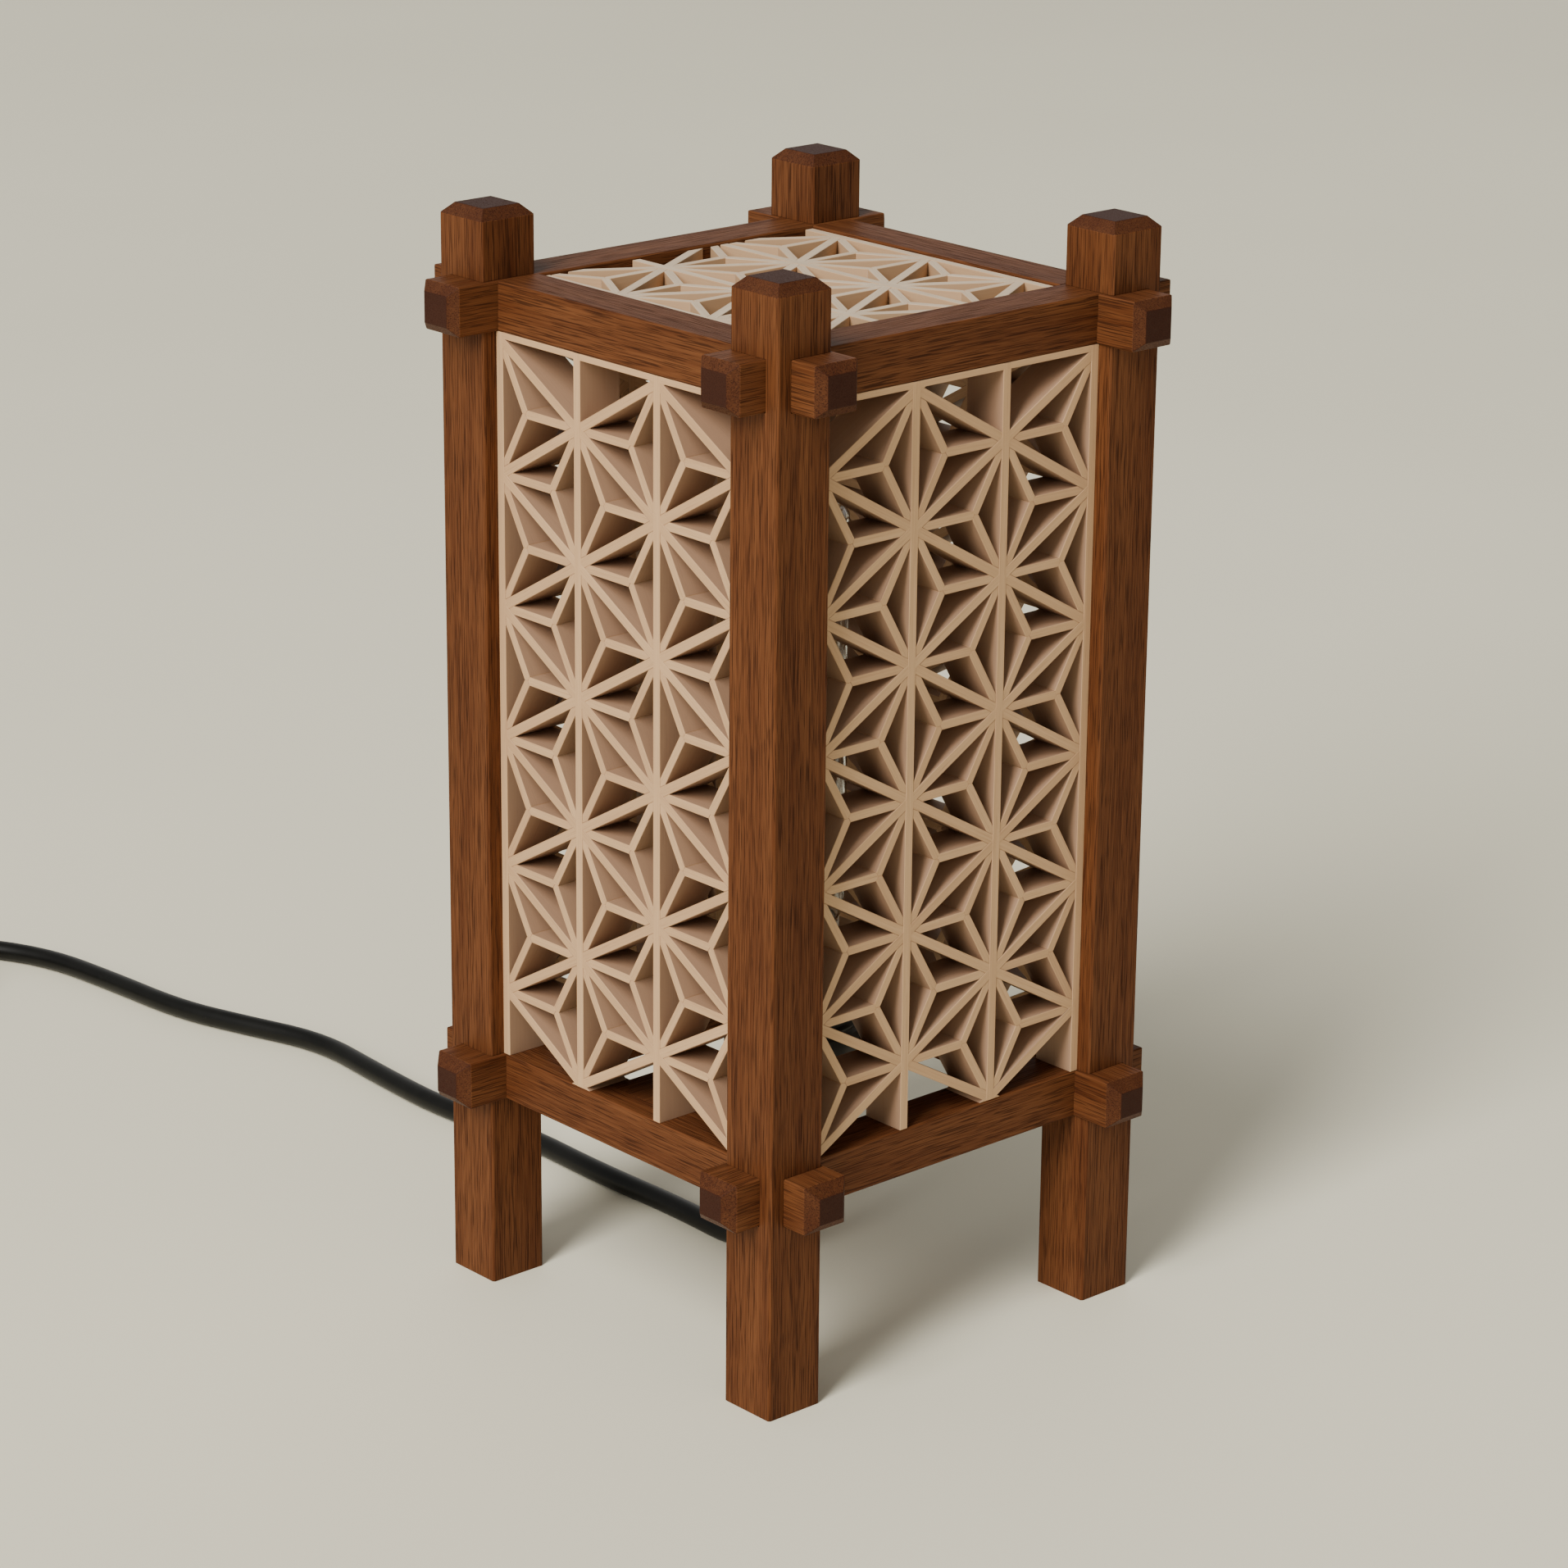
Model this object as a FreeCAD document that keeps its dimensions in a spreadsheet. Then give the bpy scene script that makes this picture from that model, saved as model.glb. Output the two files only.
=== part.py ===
# Kumiko table lamp: four posts, crossing rails, hemp-leaf lattices, a lampholder, a tube bulb and its lead.
# Millimetres, +Z up, origin on the floor at the centre of the four feet; -Y is the front, -X the left side.
import FreeCAD, Part
import math
import os
import Sketcher
from FreeCAD import Placement, Rotation, Vector

# Driving sizes: alias, value and what it measures
SIZES = [
    ("frame_span", 150.0, "outer face of one post to the outer face of the next"),
    ("post_width", 20.0, "side of the square post"),
    ("post_height", 340.0, "floor to the top of the post"),
    ("post_top_chamfer", 3.3, "chamfer round the top of the post"),
    ("post_edge", 0.6, "easing of the post's upright edges"),
    ("rail_width", 16.0, "rail, from its outer to its inner face"),
    ("rail_height", 15.0, "rail, from its underside to its top"),
    ("rail_setback", 5.0, "post's outer face to the rail's outer face"),
    ("rail_edge", 0.4, "easing of the rail's long edges"),
    ("stub_length", 12.0, "rail end beyond the post"),
    ("top_stub_chamfer", 2.8, "chamfer round the ends of the top rails"),
    ("low_stub_chamfer", 3.4, "chamfer round the ends of the bottom rails"),
    ("low_rail_z", 61.0, "underside of the bottom rails"),
    ("top_rail_z", 304.0, "underside of the top rails"),
    ("strip_width", 3.0, "thickness of a lattice strip"),
    ("leaf_width", 2.7, "thickness of a leaf in the lattice"),
    ("lattice_depth", 15.0, "side lattice, from front to back"),
    ("lattice_row", 40.9, "side lattice, from one star to the star above"),
    ("lattice_first_node", 301.7, "height of the side lattice's highest nodes"),
    ("lattice_cap", 2.0, "thin bar along the top of the side lattice"),
    ("leaf_margin", 10.0, "least distance of a filled triangle's centre from the lattice's edge"),
    ("top_lattice_depth", 10.0, "top lattice, from its face to its underside"),
    ("top_lattice_drop", 0.8, "top lattice's face below the rails' tops"),
    ("top_lattice_gap", 0.3, "play between the top lattice and the rails"),
    ("cleat_width", 5.0, "cleat under the top lattice, across"),
    ("cleat_length", 100.0, "cleat under the top lattice, along"),
    ("cleat_drop", 4.0, "cleat under the top lattice, its height"),
    ("bar_width", 26.0, "cross-bar that carries the lampholder, across"),
    ("bar_thickness", 6.0, "cross-bar, top to underside"),
    ("bar_housing", 8.0, "depth of the cross-bar's end in the rail"),
    ("thread_play", 0.2, "play round the threaded tube"),
    ("holder_radius", 21.0, "lampholder, outside"),
    ("holder_height", 34.0, "height of the lampholder"),
    ("holder_floor", 11.0, "floor of the lampholder's bore above the cross-bar"),
    ("holder_bore_radius", 15.2, "lampholder's bore"),
    ("shell_radius", 14.9, "screw shell, outside"),
    ("shell_wall", 0.5, "screw shell's wall"),
    ("shell_height", 22.0, "screw shell's height"),
    ("tongue_length", 14.0, "spring tongue that is the lampholder's centre contact"),
    ("tongue_width", 5.0, "spring tongue, across"),
    ("tongue_height", 1.5, "spring tongue, its height"),
    ("tube_radius", 5.0, "threaded tube that clamps the lampholder to the cross-bar"),
    ("tube_bore", 3.9, "bore of the threaded tube"),
    ("tube_reach_down", 14.0, "threaded tube below the cross-bar"),
    ("tube_reach_up", 5.0, "threaded tube above the cross-bar"),
    ("nut_radius", 8.1, "nut on the threaded tube, from its middle to a corner"),
    ("nut_height", 5.0, "nut's height"),
    ("grip_radius", 7.5, "collar of the lead's strain relief, from its middle to a flat"),
    ("grip_collar", 9.0, "height of that collar"),
    ("grip_length", 26.0, "strain relief, collar and taper together"),
    ("grip_taper", 16.0, "height of the strain relief's taper"),
    ("grip_neck_radius", 6.3, "top of the strain relief's taper, from its middle to a flat"),
    ("grip_end_radius", 4.4, "strain relief's lower end, from its middle to a flat"),
    ("bulb_play", 0.3, "play between the bulb's contact and the tongue"),
    ("cap_radius", 13.0, "bulb's screw cap"),
    ("cap_height", 19.0, "bulb's screw cap, its metal shell"),
    ("insulator_radius", 8.5, "insulator under the screw cap"),
    ("insulator_height", 4.0, "insulator's height"),
    ("contact_radius", 4.7, "bulb's end contact"),
    ("contact_height", 2.0, "bulb's end contact, its height"),
    ("housing_radius", 14.2, "bulb's housing, a collar round the glass"),
    ("housing_height", 6.0, "bulb's housing, above the cap"),
    ("glass_neck_radius", 14.0, "bulb's glass where it leaves the housing"),
    ("glass_neck", 8.0, "height over which the glass widens"),
    ("glass_radius", 16.0, "bulb's glass tube, outside"),
    ("glass_wall", 1.0, "wall of the glass"),
    ("glass_height", 134.0, "bulb's glass, above the housing"),
    ("glass_end", 8.0, "rounding of the glass at its top"),
    ("stem_radius", 3.5, "glass stem that carries the filament"),
    ("stem_height", 28.0, "stem's height"),
    ("wire_width", 0.8, "wire of the filament and of the bars that it is strung on"),
    ("middle_wire", 1.6, "wire in the middle, from the stem to the upper bars"),
    ("filament_span", 12.0, "filament's wires, from one to the one across"),
    ("filament_height", 84.0, "filament, from the lower bars to the upper ones"),
    ("lead_width", 7.0, "lead, across"),
    ("lead_bend", 32.0, "radius of the lead's bend from the strain relief to the floor"),
    ("coil_radius", 48.0, "middle of the coil's outer turn"),
    ("coil_step", 7.5, "one turn of the coil to the next, and one layer to the next"),
    ("coil_turns", 2.625, "turns in each of the coil's two layers"),
    ("coil_climb", 0.5, "share of a turn in which the coil climbs to its second layer"),
    ("coil_x", -110.0, "coil's centre, across"),
    ("coil_y", 399.0, "coil's centre, behind the lamp"),
    ("coil_heading", 150.0, "direction of the lead where it joins the coil, in degrees from +X"),
    ("coil_approach", 22.0, "last run of the lead before the coil"),
    ("coil_tail", 20.0, "straight end of the coil at the plug"),
    ("tie_wall", 0.8, "thickness of the tie round the coil"),
    ("tie_play", 0.2, "play between the tie and the coil, above and below"),
    ("tie_slack", 1.0, "play between the tie and the coil, at its sides"),
    ("tie_width", 10.0, "width of the tie"),
    ("tie_corner", 1.5, "chamfer at the corners of the tie, inside"),
    ("tie_angle", 232.0, "place of the tie round the coil, in degrees from +X"),
    ("relief_length", 24.0, "plug's tapered strain relief"),
    ("relief_thin", 9.0, "that strain relief's thin end, across"),
    ("relief_thick", 13.0, "that strain relief's thick end, across"),
    ("relief_depth", 9.0, "that strain relief, the other way"),
    ("plug_shoulder", 9.0, "length over which the plug widens"),
    ("plug_length", 54.0, "plug with its strain relief, to its face"),
    ("plug_depth", 15.0, "plug, its smaller side"),
    ("plug_chamfer", 1.5, "chamfer round the plug's face"),
    ("blade_length", 17.0, "plug's blade"),
    ("blade_width", 6.3, "plug's blade, across"),
    ("blade_thickness", 1.5, "plug's blade, its thickness"),
    ("blade_spacing", 12.7, "middle of one blade to the middle of the other"),
    ("blade_chamfer", 1.6, "chamfer at the tip of a blade"),
]

# The lead's route on the floor after its bend, as places on the floor (X, Y)
ROUTE = [
    (1.8, 55.0), (0.2, 96.0), (1.6, 134.0), (-4.6, 172.0), (-2.6, 212.0), (0.4, 247.0),
    (-11.0, 279.0), (-19.5, 306.0), (-22.0, 344.0), (-26.0, 381.0), (-42.0, 410.0),
]
LEAD_SIDES = 8
COIL_SIDES = 4
BEND_PARTS = 3
ARC_SHARE = 0.45
LATTICE_COLUMNS = 3
QUARTERS = 4
VOLUME_SLACK = 0.02

SIDES = ("front", "right", "back", "left")
UP = Vector(0, 0, 1)
ALONG = Vector(1, 0, 0)
INTO = Vector(0, 1, 0)

document = FreeCAD.newDocument("KumikoLamp")
sheet = document.addObject("Spreadsheet::Sheet", "Sizes")
for row_number, (alias, value, note) in enumerate(SIZES, start=1):
    sheet.set(f"A{row_number}", note)
    sheet.set(f"B{row_number}", str(value))
    sheet.setAlias(f"B{row_number}", alias)
document.recompute()

pieces = []


def size(name):
    """Read one driving size from the sheet."""
    return float(getattr(sheet, name))


def lengths(text):
    """Write the sizes named in an expression as cells of the sheet."""
    words = text.split()
    known = {entry[0] for entry in SIZES}
    return " ".join("Sizes." + word if word in known else word for word in words)


def worth(text):
    """Work out an expression on the sheet's sizes."""
    return float(sheet.evalExpression(lengths(text)))


def add_body(label):
    """Start a sub-part that is built from sketches."""
    body = document.addObject("PartDesign::Body", label)
    body.Label = label
    pieces.append(body)
    return body


def add_primitive(kind, label, **sides):
    """Make a Part primitive whose properties follow expressions."""
    primitive = document.addObject(kind, label)
    for name, text in sides.items():
        primitive.setExpression(name, lengths(text))
    return primitive


def add_sketch(body, name, role, lift=None):
    """Attach a sketch to one of the body's own planes, raised along Z where lift is given."""
    sketch = body.newObject("Sketcher::SketchObject", name)
    planes = [item for item in body.Origin.OriginFeatures if item.Role == role]
    sketch.AttachmentSupport = [(planes[0], "")]
    sketch.MapMode = "FlatFace"
    if lift:
        sketch.setExpression("AttachmentOffset.Base.z", lengths(lift))
    return sketch


def bind(sketch, text, *parts):
    """Add a constraint to a sketch and let an expression drive it."""
    number = sketch.addConstraint(Sketcher.Constraint(*parts, worth(text)))
    sketch.setExpression(f"Constraints[{number}]", lengths(text))


def add_outline(sketch, corners):
    """Draw a closed outline of straight sides; a corner is (across, up)."""
    places = [Vector(worth(across), worth(up), 0) for across, up in corners]
    count = len(corners)
    first = sketch.GeometryCount
    for index, start in enumerate(places):
        sketch.addGeometry(Part.LineSegment(start, places[(index + 1) % count]))
    for index in range(count):
        after = first + (index + 1) % count
        sketch.addConstraint(Sketcher.Constraint("Coincident", first + index, 2, after, 1))
    for index, (across, up) in enumerate(corners, start=first):
        bind(sketch, across, "DistanceX", -1, 1, index, 1)
        bind(sketch, up, "DistanceY", -1, 1, index, 1)


def add_rectangle(sketch, left, low, right, high):
    """Draw a rectangle whose sides follow four expressions."""
    add_outline(sketch, [(left, low), (right, low), (right, high), (left, high)])


def add_polygon(sketch, sides, radius):
    """Draw an even-sided outline round the sketch's origin; radius runs to the middle of a side."""
    corners = []
    for number in range(sides):
        angle = 360 * (number + 0.5) / sides
        reach = f"( {radius} ) / cos( {180 / sides} deg )"
        corners.append((f"{reach} * cos( {angle} deg )", f"{reach} * sin( {angle} deg )"))
    add_outline(sketch, corners)


def add_circle(sketch, radius):
    """Draw a circle round the sketch's origin."""
    index = sketch.addGeometry(Part.Circle(Vector(), UP, worth(radius)))
    sketch.addConstraint(Sketcher.Constraint("Coincident", index, 3, -1, 1))
    bind(sketch, radius, "Radius", index)


def add_pad(body, sketch, name, length, turned=False, both_ways=False):
    """Raise a sketch by a length that follows an expression."""
    pad = body.newObject("PartDesign::Pad", name)
    pad.Profile = sketch
    pad.Reversed = turned
    pad.Midplane = both_ways
    pad.setExpression("Length", lengths(length))
    document.recompute()
    return pad


def add_pocket(body, sketch, name, turned=False, depth=None):
    """Cut a sketch through the piece, or to a depth, and make sure that it cut something."""
    before = body.Shape.Volume
    pocket = body.newObject("PartDesign::Pocket", name)
    pocket.Profile = sketch
    pocket.Reversed = turned
    if depth:
        pocket.setExpression("Length", lengths(depth))
    else:
        pocket.Type = "ThroughAll"
    document.recompute()
    if not pocket.Shape.Volume < before:
        raise RuntimeError(f"{body.Label}: {name} cuts nothing")
    return pocket


def add_revolution(body, name, corners):
    """Turn a closed outline of radius and height about the upright axis."""
    sketch = add_sketch(body, name + "Outline", "XZ_Plane")
    add_outline(sketch, corners)
    turn = body.newObject("PartDesign::Revolution", name)
    turn.Profile = sketch
    turn.ReferenceAxis = (sketch, ["V_Axis"])
    turn.Angle = 360
    document.recompute()
    return turn


def add_chamfer(body, name, width, wanted):
    """Chamfer the edges of the body's last shape that the test picks."""
    base = body.Tip
    edges = [f"Edge{index}" for index, edge in enumerate(base.Shape.Edges, start=1) if wanted(edge)]
    chamfer = body.newObject("PartDesign::Chamfer", name)
    chamfer.Base = (base, edges)
    chamfer.setExpression("Size", lengths(width))
    document.recompute()
    return chamfer


def add_row(body, feature, sketch, axis, length, count):
    """Repeat a feature at even steps along one of its sketch's axes."""
    pattern = body.newObject("PartDesign::LinearPattern", feature.Name + "Row")
    pattern.Originals = [feature]
    pattern.Direction = (sketch, [axis])
    pattern.setExpression("Length", lengths(length))
    pattern.Occurrences = count
    body.Tip = pattern
    document.recompute()
    return pattern


def add_feature(label, shape, placement=None):
    """Keep a shape that is worked out point by point as a sub-part."""
    feature = document.addObject("Part::Feature", label)
    feature.Label = label
    feature.Shape = shape
    feature.Placement = placement or Placement()
    pieces.append(feature)
    return feature


def spans(edge, axis, reach):
    """Tell whether a straight edge runs along an axis for at least the given length."""
    way = edge.Vertexes[-1].Point - edge.Vertexes[0].Point
    return abs(way.dot(axis)) > reach


def quarter_turn(step, across, along, height):
    """Place a piece that is drawn for the front at one of the four sides."""
    turn = Rotation(UP, 90 * step)
    return Placement(turn.multVec(Vector(across, along, height)), turn)


# Posts, with an outer corner left whole where the crossing rails pass
def build_post(name, step):
    """Square post with a chamfered top and two notches for the crossing rails."""
    body = add_body(f"post_{name}")
    outline = add_sketch(body, "PostSection", "XY_Plane")
    add_rectangle(outline, "0", "0", "post_width", "post_width")
    add_pad(body, outline, "Post", "post_height")
    top = size("post_height")
    add_chamfer(body, "TopChamfer", "post_top_chamfer", lambda edge: edge.BoundBox.ZMin > top / 2)
    add_chamfer(body, "EasedEdges", "post_edge", lambda edge: spans(edge, UP, top / 2))
    for plane, turned in (("XZ_Plane", False), ("YZ_Plane", True)):
        notch = add_sketch(body, "Notch" + plane[:2], plane)
        for low in ("low_rail_z", "top_rail_z"):
            add_rectangle(notch, "rail_setback", low, "post_width + rail_width", f"{low} + rail_height")
        add_pocket(body, notch, "RailNotch" + plane[:2], turned)
    corner = -size("frame_span") / 2
    body.Placement = quarter_turn(step, corner, corner, 0)


# Rails, which cross at each corner in a half lap and run on past the posts
def build_rail(name, step, level, stub_chamfer, height):
    """Rail with its two laps; the bottom side rails also take the ends of the cross-bar."""
    body = add_body(f"{level}_rail_{name}")
    along = "frame_span + 2 * stub_length"
    outline = add_sketch(body, "RailSection", "XY_Plane")
    add_rectangle(outline, "0", "0", along, "rail_width")
    add_pad(body, outline, "Rail", "rail_height")
    reach = worth(along)
    add_chamfer(body, "EndChamfer", stub_chamfer, lambda edge: not spans(edge, ALONG, reach / 2))
    add_chamfer(body, "EasedEdges", "rail_edge", lambda edge: spans(edge, ALONG, reach / 2))
    upper = name in ("left", "right")
    low, high = ("rail_height / 2", "rail_height") if upper else ("0", "rail_height / 2")
    near = "( stub_length + rail_setback )"
    lap = add_sketch(body, "LapOutline", "XZ_Plane")
    add_rectangle(lap, near, low, f"{near} + rail_width", high)
    add_rectangle(lap, f"{along} - {near} - rail_width", low, f"{along} - {near}", high)
    add_pocket(body, lap, "Laps")
    if level == "bottom" and upper:
        housing = add_sketch(body, "HousingOutline", "XY_Plane", "rail_height")
        middle = "frame_span / 2 + stub_length"
        add_rectangle(
            housing, f"{middle} - bar_width / 2", "rail_width - bar_housing",
            f"{middle} + bar_width / 2", "rail_width",
        )
        add_pocket(body, housing, "BarHousing", depth="bar_thickness")
    body.Placement = quarter_turn(step, -reach / 2, size("rail_setback") - size("frame_span") / 2, height)


# Lattice grids: upright strips and two sets of slanting ones, trimmed to the opening
def build_grid(label, opening, low, high, first_node, row, depth, falling, rising, capped):
    """Grid of strips; falling and rising give the number of each set's lowest strip and the count."""
    body = add_body(label)
    column = f"( {opening} - strip_width ) / {LATTICE_COLUMNS}"
    slope = f"( {row} / 2 / ( {column} ) )"
    bars = add_sketch(body, "UprightOutline", "XZ_Plane")
    add_rectangle(bars, "0", low, "strip_width", high)
    upright = add_pad(body, bars, "Upright", depth, True)
    add_row(body, upright, bars, "H_Axis", f"{opening} - strip_width", LATTICE_COLUMNS + 1)
    half = f"strip_width / 2 * sqrt( 1 + {slope} ^ 2 )"
    for name, way, (lowest, count) in (("Falling", "-", falling), ("Rising", "+", rising)):
        strip = add_sketch(body, name + "Outline", "XZ_Plane")
        node = f"{first_node} - {lowest} * {row}"
        near = f"{node} - ( 0 {way} {slope} ) * strip_width / 2"
        far = f"{near} + ( 0 {way} {slope} ) * ( {opening} )"
        add_outline(strip, [
            ("0", f"{near} - {half}"), (opening, f"{far} - {half}"),
            (opening, f"{far} + {half}"), ("0", f"{near} + {half}"),
        ])
        slanting = add_pad(body, strip, name, depth, True)
        add_row(body, slanting, strip, "V_Axis", f"{count - 1} * {row}", count)
    waste = add_sketch(body, "WasteOutline", "XZ_Plane")
    overhang = f"( {LATTICE_COLUMNS + 1} * {row} )"
    add_rectangle(waste, "0 - post_width", f"{low} - {overhang}", f"{opening} + post_width", low)
    add_rectangle(waste, "0 - post_width", high, f"{opening} + post_width", f"{high} + {overhang}")
    add_pocket(body, waste, "Trim")
    if capped:
        cap = add_sketch(body, "CapOutline", "XZ_Plane")
        add_rectangle(cap, "0", f"{high} - lattice_cap", opening, high)
        add_pad(body, cap, "Cap", depth, True)
    return body


def crossing(point, way, other, other_way):
    """Where two lines of the lattice's plane meet."""
    width = way.x * other_way.z - way.z * other_way.x
    gap = other - point
    return point + way * ((gap.x * other_way.z - gap.z * other_way.x) / width)


def upright_to(way, towards):
    """Direction square to a line of the lattice's plane, on the side that another direction points to."""
    side = Vector(-way.z, 0, way.x)
    return side if side.dot(towards) > 0 else -side


def leaf_star(corners, depth):
    """Three pointed leaves, joined at the centre of the triangle of strips that they fill."""
    strip = size("strip_width") / 2
    leaf = size("leaf_width") / 2
    edges = [corners[(index + 1) % 3] - corners[index] for index in range(3)]
    weights = [edges[(index + 1) % 3].Length for index in range(3)]
    middle = Vector()
    for corner, weight in zip(corners, weights):
        middle = middle + corner * (weight / sum(weights))
    ways = [(corner - middle).normalize() for corner in corners]
    alongs = [Vector(edge).normalize() for edge in edges]
    inwards = [upright_to(along, middle - corner) for along, corner in zip(alongs, corners)]
    faces = [corner + inward * strip for corner, inward in zip(corners, inwards)]
    points = []
    for index in range(3):
        before = (index + 2) % 3
        after = (index + 1) % 3
        near = middle + upright_to(ways[index], -inwards[index]) * leaf
        far = middle + upright_to(ways[after], -inwards[index]) * leaf
        points.append(crossing(faces[before], alongs[before], faces[index], alongs[index]))
        points.append(crossing(near, ways[index], faces[index], alongs[index]))
        points.append(crossing(near, ways[index], far, ways[after]))
        points.append(crossing(far, ways[after], faces[index], alongs[index]))
    return Part.Face(Part.makePolygon(points + points[:1])).extrude(INTO * depth)


def lattice_leaves(opening, low, high, first_node, row, depth):
    """Leaves for every triangle of a grid whose centre lies well inside the opening."""
    column = (opening - size("strip_width")) / LATTICE_COLUMNS
    start = size("strip_width") / 2
    margin = size("leaf_margin")
    frame = Part.makeBox(opening, depth, high - low, Vector(0, 0, low))
    above = math.ceil((high - first_node) / row)
    below = math.ceil((first_node - low) / row)
    leaves = []
    for index in range(LATTICE_COLUMNS):
        left = start + column * index
        right = left + column
        shift = 0.5 * (index % 2)
        for number in range(-above - 1, below + 1):
            height = first_node - (number + shift) * row
            for near, far in ((left, right), (right, left)):
                level = height if near == left else height - row / 2
                middle = level - row / 2
                if middle < low + margin or middle > high - margin:
                    continue
                corners = [Vector(near, 0, level), Vector(near, 0, level - row), Vector(far, 0, middle)]
                star = leaf_star(corners, depth)
                if star.BoundBox.ZMin < low or star.BoundBox.ZMax > high:
                    star = star.common(frame).Solids[0]
                leaves.append(star)
    return Part.makeCompound(leaves)


def build_side_lattices():
    """The four side lattices, each turned so that neighbours mirror each other at the posts."""
    low = "( low_rail_z + rail_height )"
    opening = "( frame_span - 2 * post_width )"
    half = worth(opening) / 2
    outer = size("frame_span") / 2 - size("rail_setback")
    places = {
        "back": (0, -half, outer - size("lattice_depth")),
        "right": (90, outer, -half),
        "front": (180, half, size("lattice_depth") - outer),
        "left": (270, -outer, half),
    }
    leaves = lattice_leaves(
        2 * half, worth(low), size("top_rail_z"), size("lattice_first_node"),
        size("lattice_row"), size("lattice_depth"),
    )
    for name, (angle, across, along) in places.items():
        place = Placement(Vector(across, along, 0), Rotation(UP, angle))
        grid = build_grid(
            f"grid_{name}", opening, low, "top_rail_z", "lattice_first_node", "lattice_row",
            "lattice_depth", (5, 7), (6, 6), True,
        )
        grid.Placement = place
        add_feature(f"leaves_{name}", leaves.copy(), place)


# Top lattice, which drops in between the top rails on two cleats
def build_top_lattice():
    """Top lattice with the same pattern, its strips cut off at the front and back rails."""
    inside = "( frame_span - 2 * rail_setback - 2 * rail_width )"
    opening = f"( {inside} - 2 * top_lattice_gap )"
    row = f"( ( {opening} - strip_width ) / {LATTICE_COLUMNS} * 2 / sqrt( 3 ) )"
    node = f"( {opening} / 2 + 1.5 * {row} )"
    half = worth(opening) / 2
    face = worth("top_rail_z + rail_height - top_lattice_drop")
    place = Placement(Vector(-half, -half, face), Rotation(ALONG, -90))
    grid = build_grid(
        "top_grid", opening, "0", opening, node, row, "top_lattice_depth", (2, 4), (4, 4), False,
    )
    grid.Placement = place
    leaves = lattice_leaves(2 * half, 0, 2 * half, worth(node), worth(row), size("top_lattice_depth"))
    add_feature("top_leaves", leaves, place)


def build_cleats():
    """Two cleats on the side rails, which the top lattice rests on."""
    inside = size("frame_span") / 2 - size("rail_setback") - size("rail_width")
    under = worth("top_rail_z + rail_height - top_lattice_drop - top_lattice_depth - cleat_drop")
    for name, left in (("left", -inside), ("right", inside - size("cleat_width"))):
        cleat = add_primitive(
            "Part::Box", f"cleat_{name}", Length="cleat_width", Width="cleat_length", Height="cleat_drop",
        )
        cleat.Placement.Base = Vector(left, -size("cleat_length") / 2, under)
        pieces.append(cleat)


# Cross-bar and lampholder
def bar_top():
    """Top of the cross-bar, level with the bottom rails."""
    return worth("low_rail_z + rail_height")


def build_cross_bar():
    """Thin bar let into the side rails, with a hole for the threaded tube."""
    body = add_body("cross_bar")
    reach = "( frame_span / 2 - rail_setback - rail_width + bar_housing )"
    outline = add_sketch(body, "BarOutline", "XY_Plane")
    add_rectangle(outline, f"0 - {reach}", "0 - bar_width / 2", reach, "bar_width / 2")
    add_pad(body, outline, "Bar", "bar_thickness")
    hole = add_sketch(body, "HoleOutline", "XY_Plane")
    add_circle(hole, "tube_radius + thread_play")
    add_pocket(body, hole, "TubeHole", True)
    body.Placement.Base = Vector(0, 0, bar_top() - size("bar_thickness"))


def build_lampholder():
    """Body, screw shell, spring tongue, threaded tube and nut, on the lamp's axis."""
    holder = add_body("holder_body")
    socket = "tube_radius + thread_play"
    tube_seat = "tube_reach_up + thread_play"
    add_revolution(holder, "Holder", [
        (socket, "0"), ("holder_radius", "0"), ("holder_radius", "holder_height"),
        ("holder_bore_radius", "holder_height"), ("holder_bore_radius", "holder_floor"),
        ("0", "holder_floor"), ("0", tube_seat), (socket, tube_seat),
    ])
    shell = add_body("holder_shell")
    shell_top = "holder_floor + shell_height"
    inside = "shell_radius - shell_wall"
    add_revolution(shell, "Shell", [
        (inside, "holder_floor"), ("shell_radius", "holder_floor"),
        ("shell_radius", shell_top), (inside, shell_top),
    ])
    tube = add_body("threaded_tube")
    tube_end = "0 - bar_thickness - tube_reach_down"
    add_revolution(tube, "Tube", [
        ("tube_bore", tube_end), ("tube_radius", tube_end),
        ("tube_radius", "tube_reach_up"), ("tube_bore", "tube_reach_up"),
    ])
    for body in (holder, shell, tube):
        body.Placement.Base = Vector(0, 0, bar_top())
    tongue = add_primitive(
        "Part::Box", "holder_contact", Length="tongue_length", Width="tongue_width", Height="tongue_height",
    )
    edge = -size("tongue_width") / 2
    tongue.Placement.Base = Vector(edge, edge, bar_top() + size("holder_floor"))
    pieces.append(tongue)
    blank = add_primitive("Part::Prism", "NutBlank", Circumradius="nut_radius", Height="nut_height")
    blank.Polygon = 6
    thread = add_primitive("Part::Cylinder", "NutThread", Radius=socket, Height="nut_height")
    nut = document.addObject("Part::Cut", "tube_nut")
    nut.Base = blank
    nut.Tool = thread
    nut.Placement.Base = Vector(0, 0, nut_underside())
    pieces.append(nut)


def nut_underside():
    """Underside of the nut, which the strain relief meets."""
    return bar_top() - size("bar_thickness") - size("nut_height")


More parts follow.
